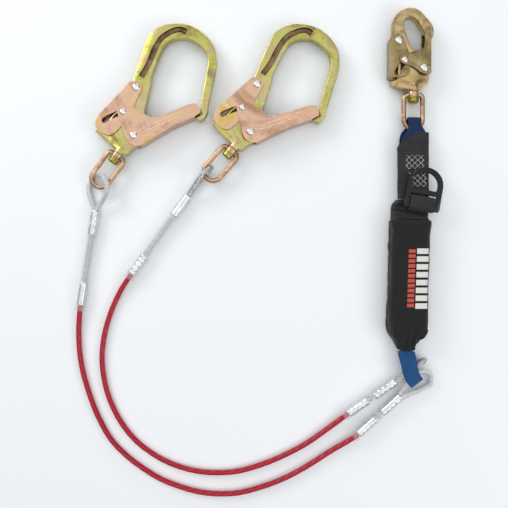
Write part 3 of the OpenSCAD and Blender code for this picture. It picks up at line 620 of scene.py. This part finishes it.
def eye_path(end):
    lean, middle = EYE_MIDDLES[end]
    heading = math.radians(ENDS[end][2])
    side = (EYE / 2 + 0.1) * math.cos(math.radians(lean))
    up = -(EYE / 2 + 0.1) * math.sin(math.radians(lean))
    near = lambda back, sign: on_axis(end, back, sign * side, sign * up)
    line = [near(-0.1, 1)] + [tuple(p) for p in curve([near(-3.1, 1)] + middle + [near(-3.1, -1)], 10)] + [near(-0.1,
        -1)]
    return even([spot(*p) for p in line], 0.0012)[0]


for end in ENDS:
    leg = end.split("_")[0]
    body = f"{leg}_leg"
    path = eye_path(end)
    covered = end.startswith("left")
    bundle = 0.0033 if covered else 0.0037
    eye = corner_piece(f"{end}_eye_rope", strands(path, bundle, 6, 0.042, bundle * 0.36), WIRE)
    finished(eye, body, "silver_rope", f"{end}_eye")
    if covered:
        film = corner_piece(f"{end}_eye_cover", [tube(path, 0.00378, 16)], COVERED)
        finished(film, body, "clear_sleeve")
    # the rope that shows between the two ferrules and just outside them
    back = FERRULE + ENDS[end][3]
    inner, _ = even([spot(*on_axis(end, FERRULE - 1)), spot(*on_axis(end, back + 1))], 0.0012)
    rope = corner_piece(f"{end}_inner_rope", strands(inner, 0.0038, 6, ROPE_LAY, 0.0014), WIRE)
    finished(rope, body, "silver_rope")


def lathe_path(end, profile, sides, squeeze=None):
    """A form turned about a clamped end's axis; profile is (back, radius) in millimetres."""
    h = math.radians(ENDS[end][2])
    side, points, faces, lay = Vector((-math.sin(h), math.cos(h), 0)), [], [], []
    for back, radius in profile:
        mid = spot(*on_axis(end, back))
        for k in range(sides):
            a = 2 * math.pi * k / sides
            r = radius * (squeeze(back, a) if squeeze else 1) / 1000
            points.append(mid + r * (math.cos(a) * side + math.sin(a) * Vector((0, 0, 1))))
    n = len(profile)
    for i in range(n - 1):
        for k in range(sides):
            j = (k + 1) % sides
            faces.append((i * sides + k, i * sides + j, (i + 1) * sides + j, (i + 1) * sides + k))
            for back, turn in ((i, k), (i, k + 1), (i + 1, k + 1), (i + 1, k)):
                lay.append((profile[back][0] / 1000, turn / sides))
    return points, faces, lay


def capped(form, sides, n):
    points, faces, lay = form
    faces = faces + [tuple(range(sides - 1, -1, -1)), tuple(range((n - 1) * sides, n * sides))]
    return points, faces, lay + [(0, 0)] * (2 * sides)


for end in ENDS:
    body = end.split("_")[0] + "_leg"
    gap = ENDS[end][3]
    parts = []
    for start, length in ((0, FERRULE), (FERRULE + gap, ROPE_FERRULE)):
        backs = [0, 0.4, 1.2] + [1.2 + (length - 2.4) * k / 24 for k in range(1, 24)] + [length - 1.2, length - 0.4,
            length]
        profile = []
        for b in backs:
            edge = min(b, length - b)
            r = 6.5 - 0.9 * max(0, 1 - edge / 1.2) ** 2
            waist = 0.22 * (0.5 - 0.5 * math.cos(2 * math.pi * 4 * (b - 2) / (length - 4))) if 2 < b < length - 2 else 0
            profile.append((start + b, r - waist))
        # the die leaves two slightly flattened sides
        press = lambda back, a: 1 - 0.035 * max(0.0, math.cos(2 * a)) ** 2
        parts.append(capped(lathe_path(end, profile, 32, press), 32, len(profile)))
    ferrule = corner_piece(f"{end}_pressed_ferrules", parts, ALLOY, 40)
    finished(ferrule, body, "ferrule_alloy", f"{end}_ferrules")

    far = FERRULE + gap + ROPE_FERRULE + 8
    shrink = lambda b: 0.18 * math.sin(b * 0.9) + 0.12 * math.sin(b * 0.37 + 1)
    outside = [(b, 7.42 - (0.35 if FERRULE + 2 < b < FERRULE + gap - 2 else 0) + 0.06 * shrink(b))
        for b in np.linspace(2, far, 60)]
    inside = [(b, r - 0.8) for b, r in reversed(outside)]
    loop = outside + inside + [outside[0]]
    points, faces, lay = lathe_path(end, loop, 32)
    skin = corner_piece(f"{end}_clear_sleeve", [(points, faces, lay)], SLEEVE, 60)
    finished(skin, body, "clear_sleeve", f"{end}_sleeve")

# ---------- metal pieces ----------

HOOK_Z = 13.2
HOOKS = {"left": (-197.5, 157.5, -36), "right": (-25.5, 164.5, -41), "snap": (238.5, 251.5, 0)}


def on_hook(key, x, y, z):
    ax, ay, heading = HOOKS[key]
    c, s = math.cos(math.radians(heading)), math.sin(math.radians(heading))
    return spot(ax + x * c - y * s, ay + x * s + y * c, HOOK_Z + z)


GROOVES = [(-38, 103), (-40.4, 124.4), (-45.6, 145.9), (-47.5, 166.5), (-41.3, 184), (-32.6, 194.4), (-23, 196.4)]

for key in ("left", "right", "snap"):
    big = key != "snap"
    plate = PLATE if big else SNAP_PLATE
    metal_copy(f"{key}_hook_body", f"{key}_forged_body", FORGING if big else SNAP_BODY, "zinc_forging", 0.0006, 28,
        GROOVES if big else None)
    for node, name, material, slot, bevel in (("gate", "gate_channel", plate, "zinc_plate", 0.00035),
            ("lock_lever", "lock_channel", plate, "zinc_plate", 0.00035),
            ("gate_rivet", "gate_rivet_bright", RIVET, "bright_rivet", 0.0003),
            ("lock_rivet", "lock_rivet_bright", RIVET, "bright_rivet", 0.0003),
            ("gate_pin", "gate_pin_bright", RIVET, "bright_rivet", 0.0003),
            ("swivel_bolt", "bolt", BOLT, "zinc_bolt", 0.0003)):
        metal_copy(f"{key}_{node}", f"{key}_{name}", material, slot, bevel)
    metal_copy(f"{key}_swivel_eye", f"{key}_link", LINK, "zinc_link", 0.0004, 50)
    for spring in ("gate", "lock"):
        NODES[f"{key}_{spring}_spring"].data.materials.clear()
        NODES[f"{key}_{spring}_spring"].data.materials.append(SPRING)
metal_copy("d_ring", "d_ring_forged", OXIDE, "black_steel", 0.0009, 45)

# ---------- webbing ----------

def ribbon(stations, steps, thickness, across=14):
    """A woven strap through stations (middle, half width vector), in table millimetres, with rounded selvedges."""
    middles = curve([Vector(m) for m, _ in stations], steps)
    halves = curve([Vector(h) for _, h in stations], steps)
    line = [spot(*m) for m in middles]
    points, faces, lay, s = [], [], [], 0.0
    section = []
    t = thickness / 2
    for k in range(across + 1):
        x = -1 + 2 * k / across
        section.append((x, t * min(1.0, 0.35 + 0.65 * ((1 - abs(x)) / 0.06)) if abs(x) > 0.94 else t))
    ring = [(x, z) for x, z in section] + [(x, -z) for x, z in reversed(section)]
    n = len(line)
    for i in range(n):
        along = (line[min(i + 1, n - 1)] - line[max(i - 1, 0)]).normalized()
        half = halves[i] / 1000
        up = half.cross(along)
        up = up.normalized()
        if i:
            s += (line[i] - line[i - 1]).length
        for x, z in ring:
            points.append(line[i] + x * half + z / 1000 * up)
            lay.append((s, (x + 1) * half.length))
    m = len(ring)
    corner = []
    for i in range(n - 1):
        for k in range(m):
            j = (k + 1) % m
            quad = (i * m + k, i * m + j, (i + 1) * m + j, (i + 1) * m + k)
            faces.append(quad)
            corner += [lay[q] for q in quad]
    first, last = tuple(range(m - 1, -1, -1)), tuple(range((n - 1) * m, n * m))
    faces += [first, last]
    corner += [lay[q] for q in first + last]
    return points, faces, corner


LINK_BAR, WEB = 7.2, 1.8
front_z, back_z = HOOK_Z + LINK_BAR / 2 + 0.5 + WEB / 2, HOOK_Z - LINK_BAR / 2 - 0.5 - WEB / 2
bend = (front_z - back_z) / 2
apex = 205 - WEB / 2 - bend
top_stations = [((238, 153, front_z), (18, 0, 0)), ((238.5, 171, front_z), (18, 0, 0)),
    ((241.5, 182, front_z), (14, 0, 0)),
    ((240.5, 190, front_z), (10.5, 0, 0))] + [((239, apex + bend * math.cos(a), HOOK_Z + bend * math.sin(a)),
    (9.2, 0, 0))
    for a in [math.radians(d) for d in (90, 67.5, 45, 22.5, 0, -22.5, -45, -67.5, -90)]] + [((237.5, 190, back_z),
    (9.2, 0, 0)),
    ((236, 182, back_z), (14, 0, 0)), ((237, 171, back_z), (18, 0, 0)), ((238, 153, back_z), (18, 0, 0))]
top = corner_piece("top_webbing_loop", [ribbon(top_stations, 5, WEB - 0.1)], NAVY_WEB, 60)
finished(top, "pack", "navy_webbing", "top_loop")

bottom_stations = [((228.2, -145.7, 17), (11.5, 0, 0)), ((229, -152, 19.5), (11.8, 0, 0)),
    ((230, -160, 21.4), (12, 0.3, 0)),
    ((231.5, -170, 21.6), (12, 1, 0)), ((233.5, -178, 21.4), (11.5, 2.5, 0)), ((237.5, -186, 20), (10.5, 5, 0)),
    ((242, -191.5, 17.5), (9.4, 6.4, 0)), ((244.5, -194, 13), (8.8, 6.6, 0)), ((243.5, -192, 8.5), (9.2, 6.4, 0)),
    ((240.5, -187, 6.9), (9.4, 5.4, 0)), ((237, -180, 9.1), (9.8, 3.4, 0)), ((234, -172, 10), (11, 2, 0)),
    ((231, -160, 10), (11.6, 0.6, 0)), ((229, -152, 9.8), (11.8, 0, 0)), ((228.2, -145.7, 9.6), (11.5, 0, 0))]
bottom = corner_piece("bottom_webbing_loop", [ribbon(bottom_stations, 5, WEB - 0.1)], BLUE_WEB, 60)
finished(bottom, "pack", "blue_webbing", "bottom_loop")


def strap_layers():
    """The folded black strap above the pack: layers with their own edge lines, the outer one over the navy tails."""
    parts, layers, z0, total = [], 6, 2.5, 14.6
    pitch = total / layers
    for layer in range(layers + 1):
        outer = layer == layers
        mid = 19.75 if outer else z0 + pitch * (layer + 0.5)
        rows = []
        last = 181 if outer else (173, 150, 172, 170, 151, 173)[layer]
        count = 44
        for k in range(count + 1):
            y = 83.7 + k * (last - 83.7) / count
            left = -21.0 if y < 150 else -21.0 - 1.0 * min(1, (y - 150) / 12)
            if y > 160:
                left = -22 + (y - 160) * (4 / 7) if y < 167 else -18 + (y - 167) * 20 / 14
            inset = 0.0 if outer else 0.3 + 0.5 * abs(math.sin(layer * 2.1))
            sway = 0.3 * math.sin(y * 0.17 + layer * 1.7) + 0.18 * math.sin(y * 0.5 + layer)
            a, b = left + inset, 22 - inset
            sag = 0.25 * math.sin(y * 0.09) if outer else 0
            rows.append(((238 + (a + b) / 2 + sway * 0.5, y, mid + sag), ((b - a) / 2, 0, 0)))
        parts.append(ribbon(rows, 1, 1.5 if outer else pitch - 0.12, across=20))
    return parts


strap = corner_piece("folded_black_strap", strap_layers(), BLACK_WEB, 60)
finished(strap, "pack", "black_webbing", "upper_webbing")

ring_at = spot(247, 68, 25.6)
ring_turn = Matrix.Translation(ring_at) @ Matrix.Rotation(math.radians(-10), 4,
    "Z") @ Matrix.Rotation(math.radians(-2), 4, "X")


def in_ring(x, y, z):
    return ring_turn @ Vector((x / 1000, y / 1000, z / 1000))


def keeper_strap():
    """The short strap that wraps the ring's hinge bar."""
    r = 3 + 0.3 + WEB / 2
    side = [(17.6 + 0.2, -r + 0.6), (16.8, -r + 3.6), (13.8, r)] + [(r * math.cos(math.radians(a)),
        r * math.sin(math.radians(a)))
        for a in range(90, 271, 15)] + [(9, -r)]
    line = curve([(0, y, z) for y, z in side], 4)
    half = 53 / 2 - 8.05
    back = lambda p: Vector(((in_ring(*p).x) * 1000 + MIDDLE[0], in_ring(*p).y * 1000 + MIDDLE[1],
        in_ring(*p).z * 1000))
    turn = Vector((math.cos(math.radians(-10)), math.sin(math.radians(-10)), 0))
    return ribbon([(back(p), half * turn) for p in line], 1, WEB - 0.15, across=14)


keeper = corner_piece("d_ring_keeper_strap", [keeper_strap()], BLACK_WEB, 60)
finished(keeper, "pack", "black_webbing", "d_ring_keeper")
NODES["tear_webbing"].data.materials.clear()
NODES["tear_webbing"].data.materials.append(TEAR_WEB)

# ---------- the pack's cover ----------

PACK_TOP, PACK_TILT = (233.5, 51), math.radians(-1.9)
PACK_W, PACK_L, PACK_T, NECK_L, NECK_W, NECK_T = 63, 163, 32, 33, 26, 17


def in_pack(x, y, z):
    c, s = math.cos(PACK_TILT), math.sin(PACK_TILT)
    return spot(PACK_TOP[0] + x * c - y * s, PACK_TOP[1] + x * s + y * c, z)


def cover_ring(w, t, r, z0, count):
    """Section of the cover: flat underneath, crowned above, starting at the middle of the floor."""
    outline = [(-w / 2, z0 + 2.0), (-w / 2, z0 + t - r)]
    for a in np.linspace(180, 90, 7):
        outline.append((-w / 2 + r + r * math.cos(math.radians(a)), z0 + t - r + r * math.sin(math.radians(a))))
    for a in np.linspace(90, 0, 7):
        outline.append((w / 2 - r + r * math.cos(math.radians(a)), z0 + t - r + r * math.sin(math.radians(a))))
    outline += [(w / 2, z0 + 2.0), (w / 2 - 2.0, z0), (-w / 2 + 2.0, z0)]
    closed = outline + [outline[0]]
    lengths = [0]
    for a, b in zip(closed, closed[1:]):
        lengths.append(lengths[-1] + math.hypot(b[0] - a[0], b[1] - a[1]))
    marks = np.linspace(0, lengths[-1], count, endpoint=False)
    xs, zs = np.interp(marks, lengths, [p[0] for p in closed]), np.interp(marks, lengths, [p[1] for p in closed])
    return list(zip(xs, zs))


def cover_mesh():
    count, rows = 64, []
    stops = [(0, 0)] + [(d, 0) for d in np.linspace(2, PACK_L - 2, 54)] + [(PACK_L + d,
        d / NECK_L) for d in np.linspace(0.5, NECK_L, 16)]
    for down, pull in stops:
        ease = pull * pull * (3 - 2 * pull)
        w = (PACK_W - 2.4) * (1 - ease) + NECK_W * ease
        t = (PACK_T - 1.6) * (1 - ease) + NECK_T * ease
        z0 = 0.3 + 3.7 * ease
        r = 9 * (1 - ease) + 6 * ease
        rows.append([in_pack(x, -down, z) for x, z in cover_ring(w, t, r, z0, count)])
    points = [p for row in rows for p in row]
    faces = []
    for i in range(len(rows) - 1):
        for k in range(count):
            j = (k + 1) % count
            faces.append((i * count + k, (i + 1) * count + k, (i + 1) * count + j, i * count + j))
    faces += [tuple(range(count)), tuple(range(len(rows) * count - 1, (len(rows) - 1) * count - 1, -1))]
    return points, faces


points, faces = cover_mesh()
cover = mesh_piece("pack_cover_bag", points, faces, COVER_CLOTH)
CLOTH_FRAMES, CLOTH_REACH = 20, 0.0022
remesh = cover.modifiers.new("remesh", "REMESH")
remesh.mode = "VOXEL"
remesh.voxel_size = 0.0038
settle(cover)
cloth_rest = np.array([v.co for v in cover.data.vertices])
pins = cover.vertex_groups.new(name="held")
top_line, neck_line = spot(*PACK_TOP), in_pack(0, -(PACK_L + NECK_L), 8)
run = (neck_line - top_line).normalized()
for v in cover.data.vertices:
    down = (v.co - top_line).dot(run) * 1000
    hold = max(0.0, 1 - down / 5) + max(0.0, (down - PACK_L - NECK_L + 6) / 6)
    if v.co.z < 0.0016:
        hold = 1
    if hold > 0:
        pins.add([v.index], min(1.0, hold), "REPLACE")
cloth = cover.modifiers.new("cloth", "CLOTH")
cloth.settings.quality = 6
cloth.settings.mass = 0.25
cloth.settings.tension_stiffness = 12
cloth.settings.compression_stiffness = 4
cloth.settings.bending_stiffness = 0.3
cloth.settings.vertex_group_mass = "held"
cloth.settings.use_pressure = True
cloth.settings.uniform_pressure_force = 4
cloth.settings.shrink_min = -0.03
cloth.settings.effector_weights.gravity = 0
scene = bpy.context.scene
scene.frame_start, scene.frame_end = 1, CLOTH_FRAMES
cloth.point_cache.frame_start, cloth.point_cache.frame_end = 1, CLOTH_FRAMES
for step in range(1, CLOTH_FRAMES + 1):
    scene.frame_set(step)
settle(cover)
scene.frame_set(1)
swollen = np.array([v.co for v in cover.data.vertices])
move = swollen - cloth_rest
far = np.linalg.norm(move, axis=1, keepdims=True)
move *= np.minimum(1, CLOTH_REACH / np.maximum(far, 1e-9))
swollen = cloth_rest + move
swollen[:, 2] = np.maximum(swollen[:, 2], 0.0001)
cover.data.vertices.foreach_set("co", swollen.ravel())
smooth = cover.modifiers.new("smooth", "SUBSURF")
smooth.levels = smooth.render_levels = 1
settle(cover)
co = np.array([v.co for v in cover.data.vertices])
top_at = spot(*PACK_TOP)
c, d = math.cos(PACK_TILT), math.sin(PACK_TILT)
for i, p in enumerate(co):
    dx, dy = (p[0] - top_at.x) * 1000, (p[1] - top_at.y) * 1000
    x, down, up = dx * c + dy * d, dx * d - dy * c, p[2] * 1000
    # the front panel ends in a slanted hem; past it the bag is gathered towards the neck
    past = min(1.0, max(0.0, (down - (PACK_L - 7 + x * 0.10)) / 1.6))
    pull = min(1.0, max(0.0, (down - PACK_L + 6) / 26))
    lift = 0.9 * (1 - past) - 0.7
    lift += past * 1.5 * math.sin(x * (0.42 + 0.25 * pull) + 1.2 * math.sin(down * 0.15)) * (0.5 + 0.5 * pull)
    lift += past * 1.1 * noise.noise(Vector((x * 0.13, down * 0.12, 4.4)))
    calm = 1 - past
    lift += calm * 0.7 * noise.noise(Vector((x * 0.055, down * 0.016, 2.0)))
    lift += calm * 0.5 * noise.noise(Vector((x * 0.16 + 7, down * 0.03, 3.1)))
    lift -= calm * 0.7 * math.exp(-((x + 11 + down * 0.02) / 2.4) ** 2) * min(1.0, down / 12)
    if up > 12:
        co[i][2] += lift / 1000
    if 3 < up and abs(x) > 8:
        side = math.copysign(1, x) * (0.7 * lift if past > 0 else 0.4 * lift) / 1000
        co[i][0] += side * c
        co[i][1] += side * d
co[:, 2] = np.clip(co[:, 2], 0.0, 0.0322)
cover.data.vertices.foreach_set("co", co.ravel())
cover.data.update()
cover.data.shade_smooth()
finished(cover, "pack", "black_cloth", "pack_cover")


def flap_mesh():
    """The cover's own end, pulled down over the strap in soft folds, with a rounded left shoulder."""
    across, rows = 60, 45
    ys, zs = (0, 2, 4, 6, 8, 10.5, 13, 18, 24, 30.8), (30.0, 28.2, 25.6, 23.0, 20.8, 19.4, 18.6, 18.1, 17.8, 16.6)
    top, base = [], []
    for i in range(rows):
        f = i / (rows - 1)
        y = 30.8 * f
        left = -26.9 + 8.5 * max(0.0, (y - 17) / 13.8) ** 2.2
        right = 29.3 - 1.6 * max(0.0, (y - 24) / 6.8) ** 2 - 0.5 * math.sin(y * 0.4)
        crest = float(np.interp(y, ys, zs))
        for k in range(across + 1):
            g = k / across
            x = left + (right - left) * g
            edge = min(g, 1 - g) * (right - left)
            drop = (crest - 4) * (max(0.0, 1 - edge / 7.0) ** 2.4)
            hem = 5 * max(0.0, (y - 27.5) / 3.3) ** 2
            fold = 1.5 * math.sin(y * 0.62 + x * 0.10 + 2.6 * noise.noise(Vector((x * 0.055, y * 0.07, 1.3))))
            fold += 1.5 * noise.noise(Vector((x * 0.12, y * 0.20, 9.4))) + 0.5 * noise.noise(Vector((x * 0.3, y * 0.4,
                2.2)))
            calm = min(1.0, y / 5.0) * (0.55 + 0.45 * min(1.0, edge / 6.0))
            z = crest - drop - hem + fold * calm
            top.append(in_pack(x, y, max(3.4, min(z, 31.5))))
            base.append(in_pack(x, y, 2.6))
    n, w, faces = len(top), across + 1, []
    for i in range(rows - 1):
        for k in range(across):
            a = i * w + k
            faces.append((a, a + 1, a + w + 1, a + w))
            faces.append((n + a, n + a + w, n + a + w + 1, n + a + 1))
        a = i * w
        faces.append((a, a + w, n + a + w, n + a))
        a += across
        faces.append((a, n + a, n + a + w, a + w))
    for k in range(across):
        a = (rows - 1) * w + k
        faces += [(k, n + k, n + k + 1, k + 1), (a, a + 1, n + a + 1, n + a)]
    return top + base, faces


points, faces = flap_mesh()
flap = mesh_piece("pack_flap_cloth", points, faces, FLAP_CLOTH)
soft = flap.modifiers.new("soft", "SUBSURF")
soft.levels = soft.render_levels = 1
settle(flap)
flap.data.shade_smooth()
finished(flap, "pack", "black_cloth", "pack_flap")

# ---------- stitching, by Geometry Nodes ----------


def node_tree(name, sockets, kinds, settings, links):
    """A Geometry Nodes tree: its own sockets, its nodes by key, what is set on them, and their links."""
    tree = bpy.data.node_groups.new(name, "GeometryNodeTree")
    for label, way, kind, value in sockets:
        socket = tree.interface.new_socket(label, in_out=way, socket_type="NodeSocket" + kind)
        if value is not None:
            socket.default_value = value
    made = {key: tree.nodes.new(kind) for key, kind in kinds.items()}
    for key, socket, value in settings:
        if socket == "data_type":
            made[key].data_type = value
        else:
            made[key].inputs[socket].default_value = value
    for source, output, target, socket in links:
        tree.links.new(made[source].outputs[output], made[target].inputs[socket])
    return tree


# Runs of thread: each chain of edges becomes one round thread
THREADS = node_tree("Thread_runs",
    [("Runs", "INPUT", "Geometry", None), ("Thread radius", "INPUT", "Float", 0.0004),
        ("Thread sides", "INPUT", "Int", 6), ("Finish", "INPUT", "Material", None),
        ("Threads", "OUTPUT", "Geometry", None)],
    {"in": "NodeGroupInput", "line": "GeometryNodeMeshToCurve", "section": "GeometryNodeCurvePrimitiveCircle",
        "sweep": "GeometryNodeCurveToMesh", "real": "GeometryNodeRealizeInstances",
        "paint": "GeometryNodeSetMaterial", "out": "NodeGroupOutput"},
    [("sweep", "Fill Caps", True)],
    [("in", "Runs", "line", "Mesh"), ("in", "Thread radius", "section", "Radius"),
        ("in", "Thread sides", "section", "Resolution"), ("line", 0, "sweep", "Curve"),
        ("section", 0, "sweep", "Profile Curve"), ("sweep", 0, "real", 0), ("real", 0, "paint", "Geometry"),
        ("in", "Finish", "paint", "Material"), ("paint", 0, "out", 0)])
# Short raised bars at the mesh's points, each turned by the point's own heading
BARS = node_tree("Stamped_bars",
    [("Places", "INPUT", "Geometry", None), ("Bar length", "INPUT", "Float", 0.0022),
        ("Bar width", "INPUT", "Float", 0.0007), ("Bar height", "INPUT", "Float", 0.00014),
        ("Seed", "INPUT", "Int", 3), ("Finish", "INPUT", "Material", None), ("Bars", "OUTPUT", "Geometry", None)],
    {"in": "NodeGroupInput", "size": "ShaderNodeCombineXYZ", "bar": "GeometryNodeMeshCube",
        "put": "GeometryNodeInstanceOnPoints", "turn": "GeometryNodeInputNamedAttribute",
        "vary": "FunctionNodeRandomValue", "real": "GeometryNodeRealizeInstances",
        "paint": "GeometryNodeSetMaterial", "out": "NodeGroupOutput", "aim": "ShaderNodeCombineXYZ"},
    [("turn", "data_type", "FLOAT"), ("turn", "Name", "heading"), ("vary", "data_type", "FLOAT_VECTOR"),
        ("vary", 0, (0.45, 0.8, 0.8)), ("vary", 1, (1.0, 1.1, 1.1))],
    [("in", "Bar length", "size", 0), ("in", "Bar width", "size", 1), ("in", "Bar height", "size", 2),
        ("size", 0, "bar", "Size"), ("in", "Places", "put", "Points"), ("bar", "Mesh", "put", "Instance"),
        ("turn", "Attribute", "aim", 2), ("aim", 0, "put", "Rotation"), ("in", "Seed", "vary", "Seed"),
        ("vary", 0, "put", "Scale"), ("put", 0, "real", 0), ("real", 0, "paint", "Geometry"),
        ("in", "Finish", "paint", "Material"), ("paint", 0, "out", 0)])


def grown(name, mesh, tree, **inputs):
    """The mesh with a node tree run on it, as a plain mesh."""
    piece = link(name, mesh)
    change = piece.modifiers.new("nodes", "NODES")
    change.node_group = tree
    for item in tree.interface.items_tree:
        if item.item_type == "SOCKET" and item.in_out == "INPUT" and item.name in inputs:
            change[item.identifier] = inputs[item.name]
    settle(piece)
    return piece


def zigzag(x0, x1, y0, y1, rows, teeth, z):
    """A bar-tack block: rows of zig-zag between two sides, as one broken line per row."""
    points, edges = [], []
    for row in range(rows):
        base = y0 + (y1 - y0) * (row + 0.5) / rows
        swing = abs(y1 - y0) / rows * (0.62 if row % 2 else -0.62)
        for k in range(teeth * 2 + 1):
            x = x0 + (x1 - x0) * k / (teeth * 2)
            points.append(spot(x, base + (swing if k % 2 else -swing), z))
            if k:
                edges.append((len(points) - 2, len(points) - 1))
    return points, edges


def thread_piece(name, blocks, body, slot):
    points, edges = [], []
    for block_points, block_edges in blocks:
        base = len(points)
        points += block_points
        edges += [(a + base, b + base) for a, b in block_edges]
    mesh = bpy.data.meshes.new(name)
    mesh.from_pydata([tuple(p) for p in points], edges, [])
    piece = grown(name, mesh, THREADS, **{"Thread radius": 0.00036, "Thread sides": 6, "Finish": THREAD})
    piece.data.shade_smooth()
    return finished(piece, body, slot)


STITCH_Z = 20.35
thread_piece("strap_stitching", [zigzag(226, 252.6, 127, 148, 5, 3, STITCH_Z),
    zigzag(230.5, 256, 100.5, 121, 5, 3, STITCH_Z)], "pack", "black_webbing")


def stamped(name, key, rows, z, body, size=(0.0024, 0.0008, 0.00016)):
    """Rows of short bars from (x, y) to (x, y) on a hook, like worn stamping with nothing to read."""
    points, headings = [], []
    for (x0, y0), (x1, y1), count in rows:
        for k in range(count):
            f = (k + 0.5) / count
            points.append(on_hook(key, x0 + (x1 - x0) * f, y0 + (y1 - y0) * f, z))
            headings.append(math.atan2(y1 - y0, x1 - x0) + math.radians(HOOKS[key][2]))
    mesh = bpy.data.meshes.new(name)
    mesh.from_pydata([tuple(p) for p in points], [], [])
    mesh.attributes.new("heading", "FLOAT", "POINT").data.foreach_set("value", headings)
    piece = grown(name, mesh, BARS, **{"Bar length": size[0], "Bar width": size[1], "Bar height": size[2], "Seed": 5,
        "Finish": STAMP})
    return finished(piece, body, "zinc_plate")


GATE_TOP = 11.72
for key in ("left", "right"):
    stamped(f"{key}_gate_stamping", key, [((8.5, 40), (40.5, 95.5), 19), ((13.5, 38.5), (42, 88), 16)], GATE_TOP,
        f"{key}_gate")
    stamped("snap_gate_stamping", "snap", [((8, 24), (-8, 34), 6)], GATE_TOP, "snap_gate", (0.0018, 0.0007, 0.00016))

# ---------- light ----------

floor_mesh = bpy.data.meshes.new("Floor")
FLOOR_HALF, FLOOR_Z = 6, -0.0006
floor_mesh.from_pydata([(x * FLOOR_HALF, y * FLOOR_HALF, FLOOR_Z) for x, y in ((-1, -1), (1, -1), (1, 1), (-1, 1))],
    [], [(0, 1, 2, 3)])
paper = Finish("Pale_floor")
paper.set("Base Color", (0.93, 0.955, 0.975))
paper.set("Roughness", 0.85)
floor_mesh.materials.append(paper.material)
floor = link("Floor", floor_mesh)

world = bpy.data.worlds.new("Studio")
bpy.context.scene.world = world
world.use_nodes = True
sky = world.node_tree
height = sky.nodes.new("ShaderNodeSeparateXYZ")
sky.links.new(sky.nodes.new("ShaderNodeTexCoord").outputs["Generated"], height.inputs[0])
dome = sky.nodes.new("ShaderNodeValToRGB")
while len(dome.color_ramp.elements) < 4:
    dome.color_ramp.elements.new(0.5)
for element, (place, tone) in zip(dome.color_ramp.elements, ((0.0, 0.05), (0.36, 0.14), (0.70, 0.72), (0.88, 1.12))):
    element.position, element.color = place, (tone * 0.97, tone * 0.985, tone, 1)
sky.links.new(height.outputs[2], dome.inputs[0])
sky.links.new(dome.outputs[0], sky.nodes["Background"].inputs[0])
sky.nodes["Background"].inputs[1].default_value = 1.0


def softbox(name, place, aim, width, height, power):
    light = bpy.data.lights.new(name, "AREA")
    light.shape = "RECTANGLE"
    light.size, light.size_y, light.energy = width, height, power
    lamp = bpy.data.objects.new(name, light)
    lamp.location = place
    lamp.rotation_euler = (Vector(aim) - Vector(place)).to_track_quat("-Z", "Y").to_euler()
    bpy.context.scene.collection.objects.link(lamp)


softbox("Key", (-1.5, 1.3, 1.1), (0, 0, 0), 1.0, 0.8, 16)
softbox("Fill", (1.6, -0.8, 1.3), (0, 0, 0), 1.4, 0.7, 9)
softbox("Back", (0.1, 1.9, 0.6), (0, 0, 0), 1.8, 0.3, 7)
